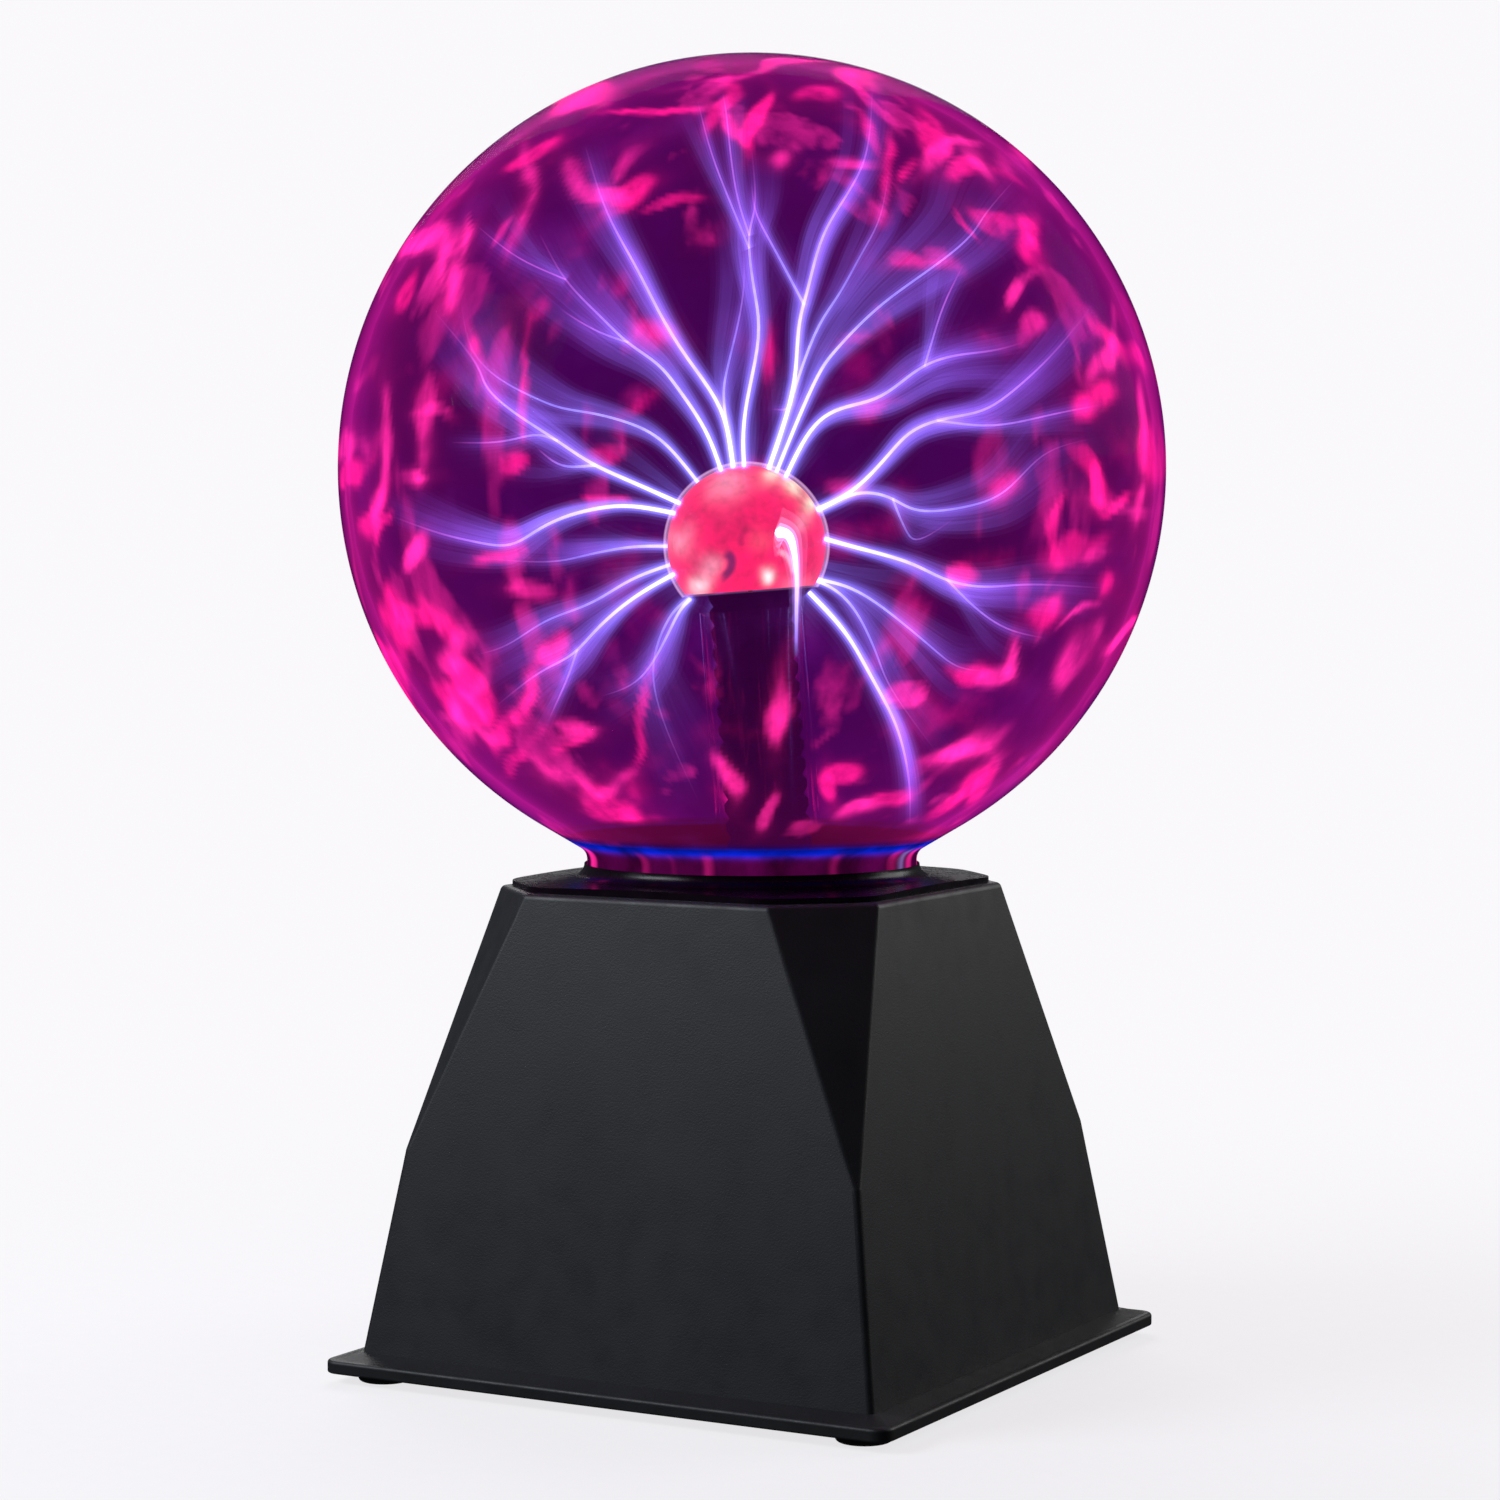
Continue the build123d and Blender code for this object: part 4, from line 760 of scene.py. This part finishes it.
def wall_look():
    """From outside, light added to what is behind. From inside, an opaque sheet with pink patches on dark
    purple, partly the gas's own faint glow and partly painted shade that hides what lies behind the globe.
    """
    material, nodes, links = new_material("gas_on_glass")
    paint = nodes.new("ShaderNodeAttribute")
    paint.attribute_name = "paint"
    coordinates = nodes.new("ShaderNodeTexCoord").outputs["Object"]
    grain = range_node(nodes, links, noise_node(nodes, links, coordinates, 130, 6, (1, 1, 0.45)), 0.45, 1.55)
    tinted = nodes.new("ShaderNodeVectorMath")
    tinted.operation = "SCALE"
    links.new(paint.outputs["Color"], tinted.inputs["Vector"])
    links.new(grain, tinted.inputs["Scale"])
    near_light = nodes.new("ShaderNodeEmission")
    near_light.inputs["Strength"].default_value = NEAR_STRENGTH
    links.new(tinted.outputs["Vector"], near_light.inputs["Color"])
    clear = nodes.new("ShaderNodeBsdfTransparent")
    near = nodes.new("ShaderNodeAddShader")
    links.new(near_light.outputs["Emission"], near.inputs[0])
    links.new(clear.outputs["BSDF"], near.inputs[1])
    # Painted shade with the gas's faint glow: the dark purple of the opaque far side.
    depths = noise_node(nodes, links, coordinates, 24, 5)
    dark = ramp_node(nodes, links, depths, GAS_GLOW_AND_PAINTED_SHADE)
    cover = nodes.new("ShaderNodeAttribute")
    cover.attribute_name = "cover"
    open_part = nodes.new("ShaderNodeMath")
    open_part.operation = "SUBTRACT"
    open_part.inputs[0].default_value = 1.0
    links.new(cover.outputs["Fac"], open_part.inputs[1])
    deep = nodes.new("ShaderNodeVectorMath")
    deep.operation = "SCALE"
    links.new(dark, deep.inputs["Vector"])
    links.new(open_part.outputs["Value"], deep.inputs["Scale"])
    total = nodes.new("ShaderNodeVectorMath")
    total.operation = "ADD"
    links.new(tinted.outputs["Vector"], total.inputs[0])
    links.new(deep.outputs["Vector"], total.inputs[1])
    side = nodes.new("ShaderNodeNewGeometry")
    blocked = nodes.new("ShaderNodeMath")
    blocked.operation = "MULTIPLY"
    links.new(side.outputs["Backfacing"], blocked.inputs[0])
    links.new(cover.outputs["Fac"], blocked.inputs[1])
    seen = nodes.new("ShaderNodeMath")
    seen.operation = "SUBTRACT"
    seen.inputs[0].default_value = 1.0
    links.new(blocked.outputs["Value"], seen.inputs[1])
    far_light = nodes.new("ShaderNodeVectorMath")
    far_light.operation = "SCALE"
    links.new(total.outputs["Vector"], far_light.inputs["Vector"])
    links.new(seen.outputs["Value"], far_light.inputs["Scale"])
    far = nodes.new("ShaderNodeEmission")
    links.new(far_light.outputs["Vector"], far.inputs["Color"])
    outer = nodes.new("ShaderNodeMath")
    outer.operation = "MULTIPLY"
    links.new(side.outputs["Backfacing"], outer.inputs[0])
    links.new(paint.outputs["Alpha"], outer.inputs[1])
    hidden = nodes.new("ShaderNodeMath")
    hidden.operation = "MAXIMUM"
    links.new(outer.outputs["Value"], hidden.inputs[0])
    links.new(cover.outputs["Fac"], hidden.inputs[1])
    mix = nodes.new("ShaderNodeMixShader")
    links.new(hidden.outputs["Value"], mix.inputs["Fac"])
    links.new(near.outputs["Shader"], mix.inputs[1])
    links.new(far.outputs["Emission"], mix.inputs[2])
    output = nodes.new("ShaderNodeOutputMaterial")
    links.new(mix.outputs["Shader"], output.inputs["Surface"])
    material.cycles.emission_sampling = "NONE"
    gas_volume(material, RIM_GAS, RIM_DENSITY)
    return material


# ---------------------------------------------------------------- the ball at the middle

def painted_emission(name, gloss, grain_scale):
    """Opaque light of the painted colours with a fine grain, under a weak gloss."""
    material, nodes, links = new_material(name)
    paint = nodes.new("ShaderNodeAttribute")
    paint.attribute_name = "paint"
    coordinates = nodes.new("ShaderNodeTexCoord").outputs["Object"]
    grain = range_node(nodes, links, noise_node(nodes, links, coordinates, grain_scale, 4), 0.82, 1.16)
    tinted = nodes.new("ShaderNodeVectorMath")
    tinted.operation = "SCALE"
    links.new(paint.outputs["Color"], tinted.inputs["Vector"])
    links.new(grain, tinted.inputs["Scale"])
    light = nodes.new("ShaderNodeEmission")
    links.new(tinted.outputs["Vector"], light.inputs["Color"])
    shine = nodes.new("ShaderNodeBsdfGlossy")
    shine.inputs["Color"].default_value = (gloss, gloss, gloss, 1)
    shine.inputs["Roughness"].default_value = 0.2
    both = nodes.new("ShaderNodeAddShader")
    links.new(light.outputs["Emission"], both.inputs[0])
    links.new(shine.outputs["BSDF"], both.inputs[1])
    output = nodes.new("ShaderNodeOutputMaterial")
    links.new(both.outputs["Shader"], output.inputs["Surface"])
    material.cycles.emission_sampling = "NONE"
    return material


BALL_BASE = (1.0, 0, .115)
BALL_DARK = (.55, 0, .080)
PINK_WHITE = (1.0, .42, .58)
YELLOW_WHITE = (1.0, .78, .60)
DEEP_PURPLE = (.07, 0, .09)
# Marks on the ball as seen from the front: right, up (in ball radii), size, colour, strength.
BALL_MARKS = [
    (-.24, .72, .30, PINK_WHITE, .60), (-.84, .02, .24, PINK_WHITE, .55),
    (-.44, -.31, .18, PINK_WHITE, .55), (.14, -.02, .18, (1.0, .10, .16), .50),
    (.29, .86, .16, YELLOW_WHITE, 1.0), (.56, .72, .16, YELLOW_WHITE, 1.0),
    (.77, .48, .14, YELLOW_WHITE, 1.0), (.26, -.44, .10, (1, 1, 1), 1.0),
    (-.56, -.54, .16, (1.0, .72, .80), .95), (.72, .26, .12, (1.0, .30, .42), .70),
    (.62, -.55, .22, (1.0, .22, .36), .60), (-.06, .22, .26, BALL_DARK, .60),
    (.44, .24, .22, BALL_DARK, .45),
]
# Curved marks: right, up, radius, first and last degree, thickness, colour.
BALL_ARCS = [
    (-.40, -.31, .20, -60, 60, .075, DEEP_PURPLE), (.14, -.02, .22, 120, 200, .050, BALL_DARK),
    (.30, -.46, .30, 10, 80, .050, PINK_WHITE),
]
# The stem leans, and the ball's lining with it: the leaning axis, pointing up.
LEAN = math.radians(4.4)
LEAN_TOWARDS = math.radians(209)
LEAN_AXIS = Vector((math.cos(LEAN_TOWARDS), math.sin(LEAN_TOWARDS), 0)) * math.sin(LEAN)
LEAN_AXIS.z = math.cos(LEAN)
LINING_EDGE = -0.011             # where the lining ends, along the leaning axis from the ball's centre
BALL_SKIN = 0.01914              # radius of the painted shell, just outside the conductive lining
BALL_SKIN_THICKNESS = 0.00003
SHELL_ROWS, SHELL_SIDES = 110, 220
HALO_DEPTH = 0.0005
HALO_COLOUR = (1.0, .55, .95)
HALO_DENSITY = 75.0


def ball_colour(away):
    """Colour of the hot ball in a direction from its centre."""
    wobble = noise.noise_vector(away * 2.2) * 0.10
    x, y = away.dot(RIGHT) + wobble.x, away.dot(UP) + wobble.y
    cloud = noise.noise(away * 1.9 + Vector((3, 1, 2)))
    colour = blend3(BALL_BASE, BALL_DARK, float(smooth(cloud, 0.0, 0.6)) * 0.7)
    if away.dot(BACK) < 0:
        return blend3(colour, PINK_WHITE, 0.55 * float(smooth(-cloud, 0.15, 0.5)))
    for right, up, size, tint, power in BALL_MARKS:
        reach = math.hypot(x - right, y - up) / size
        colour = blend3(colour, tint, power * math.exp(-1.6 * reach ** 2))
    for right, up, radius, first, last, thickness, tint in BALL_ARCS:
        angle = math.degrees(math.atan2(y - up, x - right))
        middle, half = (first + last) / 2, (last - first) / 2
        swing = abs((angle - middle + 180) % 360 - 180) / half
        ring = abs(math.hypot(x - right, y - up) - radius) / thickness
        share = float((1 - smooth(ring, 0.3, 1.2)) * (1 - smooth(swing, 0.6, 1.1)))
        colour = blend3(colour, tint, share * 0.85)
    return colour


def open_shell(builder, outside, inside, paint_of):
    """A thin shell round the ball's centre, open at the bottom like the lining, painted on its outside."""
    aside = LEAN_AXIS.orthogonal().normalized()
    other = LEAN_AXIS.cross(aside)
    last = math.acos(LINING_EDGE / BALL_SKIN)
    starts = []
    for radius, flip in ((outside, False), (inside, True)):
        rings, colours = [], []
        for i in range(1, SHELL_ROWS + 1):
            polar = last * i / SHELL_ROWS
            ring, ring_colours = [], []
            for j in range(SHELL_SIDES):
                turn = 2 * math.pi * j / SHELL_SIDES
                flat = aside * math.cos(turn) + other * math.sin(turn)
                away = flat * math.sin(polar) + LEAN_AXIS * math.cos(polar)
                ring.append(BALL_CENTRE + away * radius)
                ring_colours.append((0, 0, 0) if flip else paint_of(away))
            rings.append(ring)
            colours.append(ring_colours)
        first = builder.grid(rings, colours, flip=not flip)
        builder.cap(first, SHELL_SIDES, flip=flip)
        starts.append(first + (SHELL_ROWS - 1) * SHELL_SIDES)
    outer, inner = starts
    for j in range(SHELL_SIDES):
        k = (j + 1) % SHELL_SIDES
        builder.faces.append((outer + j, inner + j, inner + k, outer + k))


def make_electrode_glow():
    """The ball's glowing surface, just over its lining, and the lit layer of its glass, a pale rim."""
    surface, halo = Builder(), Builder()
    open_shell(surface, BALL_SKIN + BALL_SKIN_THICKNESS, BALL_SKIN, ball_colour)
    surface.build("electrode_surface", painted_emission("hot_electrode", 0.006, 420))
    open_shell(halo, BALL_RADIUS - BALL_SKIN_THICKNESS, BALL_RADIUS - HALO_DEPTH, lambda away: (0, 0, 0))
    look = additive_look("electrode_halo", 200)
    gas_volume(look, HALO_COLOUR, HALO_DENSITY)
    halo.build("electrode_glow", look)


# ---------------------------------------------------------------- finishes of the carried-over pieces

METAL = dict(Metallic=1.0)
SATIN = dict(Specular_IOR_Level=0.36)
# Painted light: the plastic sleeve glows a faint navy, though it gives no light of its own.
NAVY_PAINTED_GLOW = dict(Specular_IOR_Level=0.04, Emission_Color=(0, 0, .022, 1), Emission_Strength=1.0)
# For each material slot: the material's name, darkest and lightest colour, roughness range, scale of the
# grain and strength of its relief, then whatever else finish_look takes.
FINISHES = {
    "housing_plastic": ("matte_black_housing", (.0085, .0088, .0105), (.0135, .0138, .0165), (.44, .56),
                        2600, 0.22, dict(patch=45, **SATIN)),
    "base_plastic": ("matte_black_base", (.009, .009, .010), (.014, .014, .016), (.46, .60),
                     2200, 0.25, SATIN),
    # Painted sheen: the cap's black is tinted magenta for the discharge's light on its gloss.
    "gloss_black": ("gloss_black_cap_painted_sheen", (.0035, .001, .0035), (.007, .002, .007), (.22, .32),
                    900, 0.03, dict(patch=80, Specular_IOR_Level=0.16)),
    "foot_rubber": ("foot_rubber", (.012, .012, .013), (.026, .026, .027), (.75, .95), 1800, 0.4, {}),
    "screw_steel": ("zinc_screws", (.42, .42, .44), (.62, .62, .64), (.28, .45),
                    1400, 0.12, dict(patch=300, **METAL)),
    # The sleeve: dark navy plastic under a painted faint navy glow.
    "sleeve_plastic": ("navy_sleeve_painted_glow", (.001, .001, .010), (.002, .002, .022), (.55, .75),
                       1200, 0.15, NAVY_PAINTED_GLOW),
    "lead_rubber": ("lead_rubber", (.02, .02, .02), (.04, .04, .045), (.55, .75), 1200, 0.2, {}),
    "tinned_copper": ("tinned_copper", (.55, .52, .48), (.72, .68, .62), (.25, .42),
                      1500, 0.1, dict(patch=400, **METAL)),
    "board_green": ("circuit_board", (.008, .055, .018), (.014, .085, .028), (.35, .50),
                    700, 0.15, dict(patch=240)),
    "ferrite": ("ferrite", (.018, .017, .018), (.04, .038, .038), (.55, .75), 1500, 0.35, {}),
    "potting_resin": ("potting_resin", (.012, .012, .016), (.026, .026, .032), (.20, .38), 600, 0.1, {}),
    "copper_winding": ("copper_winding", (.55, .20, .08), (.80, .34, .16), (.25, .4),
                       900, 0.5, dict(patch=500, stretch=(1, 1, 14), **METAL)),
    "sink_aluminium": ("aluminium", (.50, .50, .52), (.68, .68, .70), (.35, .5),
                       900, 0.15, dict(patch=200, stretch=(1, 9, 1), **METAL)),
    "component_black": ("component_epoxy", (.015, .015, .016), (.03, .03, .032), (.45, .65), 1600, 0.2, {}),
    "capacitor_sleeve": ("capacitor_sleeve", (.010, .016, .06), (.018, .028, .10), (.30, .45),
                         900, 0.08, {}),
    "film_yellow": ("film_capacitor", (.62, .40, .05), (.80, .55, .10), (.35, .5),
                    900, 0.1, dict(patch=180)),
    "resistor_body": ("resistor_body", (.45, .34, .20), (.60, .47, .30), (.35, .5),
                      900, 0.1, dict(patch=300)),
    "switch_plastic": ("switch_housing", (.010, .010, .011), (.018, .018, .019), (.35, .50), 1800, 0.15, {}),
    "rocker_plastic": ("rocker", (.012, .012, .013), (.020, .020, .021), (.22, .36), 1400, 0.08, {}),
    "lining_foil": ("lining_foil", (.30, .29, .28), (.50, .48, .46), (.35, .6),
                    900, 0.4, dict(patch=150, **METAL)),
}
# For each glass slot: name, tint where it is smeared, share of the gloss that is kept, index of refraction.
GLASSES = {
    "globe_glass": ("globe_glass", (.985, .985, .99), 0.012, 1.34),
    "stem_glass": ("stem_glass", (.93, .90, .96), 0.80, 1.45),
    "electrode_glass": ("bulb_glass", (.97, .96, .97), 0.10, 1.45),
}


def dress():
    finishes = {}
    for slot, (*look, rest) in FINISHES.items():
        finishes[slot] = finish_look(*look, **rest)
    for slot, look in GLASSES.items():
        finishes[slot] = glass_look(*look)
    slots = {part["node"]: part["material_slot"] for part in frame["record"]["subparts"]}
    for name, piece in frame["nodes"].items():
        piece.data.materials.clear()
        piece.data.materials.append(finishes[slots[name]])


# ---------------------------------------------------------------- studio

PAPER = (.955, .940, .962)
SKY = (.80, .85, 1.0)
SKY_STRENGTH = 0.05
DOME_RADIUS = 6.0
FLOOR_RADIUS = 5.0
LAMP_AIM = Vector((0, 0, 0.10))


def make_studio():
    scene = bpy.context.scene
    world = bpy.data.worlds.new("room")
    world.use_nodes = True
    sky = world.node_tree.nodes["Background"]
    sky.inputs["Color"].default_value = (*SKY, 1)
    sky.inputs["Strength"].default_value = SKY_STRENGTH
    scene.world = world

    def staged(name, make, material):
        mesh = bpy.data.meshes.new(name)
        shape = bmesh.new()
        make(shape)
        shape.to_mesh(mesh)
        shape.free()
        mesh.materials.append(material)
        item = bpy.data.objects.new(name, mesh)
        scene.collection.objects.link(item)
        item.visible_diffuse = False
        item.visible_glossy = False
        item.visible_shadow = False

    paper, nodes, links = new_material("paper_dome")
    light = nodes.new("ShaderNodeEmission")
    light.inputs["Color"].default_value = (*PAPER, 1)
    output = nodes.new("ShaderNodeOutputMaterial")
    links.new(light.outputs["Emission"], output.inputs["Surface"])
    paper.cycles.emission_sampling = "NONE"
    staged("paper_dome", lambda s: bmesh.ops.create_icosphere(s, subdivisions=4, radius=DOME_RADIUS), paper)

    floor, nodes, links = new_material("pale_floor")
    coordinates = nodes.new("ShaderNodeTexCoord").outputs["Object"]
    far = nodes.new("ShaderNodeVectorMath")
    far.operation = "LENGTH"
    links.new(coordinates, far.inputs[0])
    fade = nodes.new("ShaderNodeMapRange")
    fade.interpolation_type = "SMOOTHSTEP"
    for socket, value in (("From Min", 0.10), ("From Max", 0.55), ("To Min", 0.80), ("To Max", 1.0)):
        fade.inputs[socket].default_value = value
    links.new(far.outputs["Value"], fade.inputs["Value"])
    matte = nodes.new("ShaderNodeBsdfDiffuse")
    speckle = noise_node(nodes, links, coordinates, 220, 4)
    hues = ramp_node(nodes, links, speckle, [(NOISE_LOW, (.86, .85, .87)), (NOISE_HIGH, (.90, .89, .91))])
    links.new(hues, matte.inputs["Color"])
    light = nodes.new("ShaderNodeEmission")
    light.inputs["Color"].default_value = (*PAPER, 1)
    mix = nodes.new("ShaderNodeMixShader")
    links.new(fade.outputs["Result"], mix.inputs["Fac"])
    links.new(matte.outputs["BSDF"], mix.inputs[1])
    links.new(light.outputs["Emission"], mix.inputs[2])
    output = nodes.new("ShaderNodeOutputMaterial")
    links.new(mix.outputs["Shader"], output.inputs["Surface"])
    floor.cycles.emission_sampling = "NONE"
    staged("pale_floor",
           lambda s: bmesh.ops.create_circle(s, cap_ends=True, radius=FLOOR_RADIUS, segments=96), floor)

    def softbox(name, azimuth, elevation, distance, size, watts, colour=(1, 1, 1)):
        light = bpy.data.lights.new(name, "AREA")
        light.shape = "RECTANGLE"
        light.size, light.size_y = size
        light.energy = watts
        light.color = colour
        lamp = bpy.data.objects.new(name, light)
        a, e = math.radians(azimuth), math.radians(elevation)
        away = Vector((math.sin(a) * math.cos(e), -math.cos(a) * math.cos(e), math.sin(e)))
        lamp.location = LAMP_AIM + away * distance
        lamp.rotation_mode = "QUATERNION"
        lamp.rotation_quaternion = away.to_track_quat("Z", "Y")
        scene.collection.objects.link(lamp)

    softbox("key_softbox", -42, 31, 0.82, (0.42, 0.32), 5.6, (.86, .92, 1.0))
    softbox("side_softbox", 144, 24, 1.1, (0.6, 0.6), 4.4)
    softbox("back_softbox", 215, 38, 1.1, (0.7, 0.6), 7)


def make_camera():
    data = bpy.data.cameras.new("camera")
    data.lens = LENS
    data.sensor_width = SENSOR
    data.shift_x, data.shift_y = SHIFT_X, SHIFT_Y
    data.clip_start, data.clip_end = 0.01, 50
    camera = bpy.data.objects.new("camera", data)
    turn = Matrix((RIGHT, UP, BACK)).transposed()
    camera.matrix_world = Matrix.Translation(EYE) @ turn.to_4x4()
    bpy.context.scene.collection.objects.link(camera)
    bpy.context.scene.camera = camera


dress()
make_filaments()
wall = make_wall()
wall.build("plasma_wall", wall_look())
make_electrode_glow()
make_studio()
make_camera()
scene = bpy.context.scene
scene.view_settings.view_transform = "Standard"
scene.cycles.transparent_max_bounces = 96
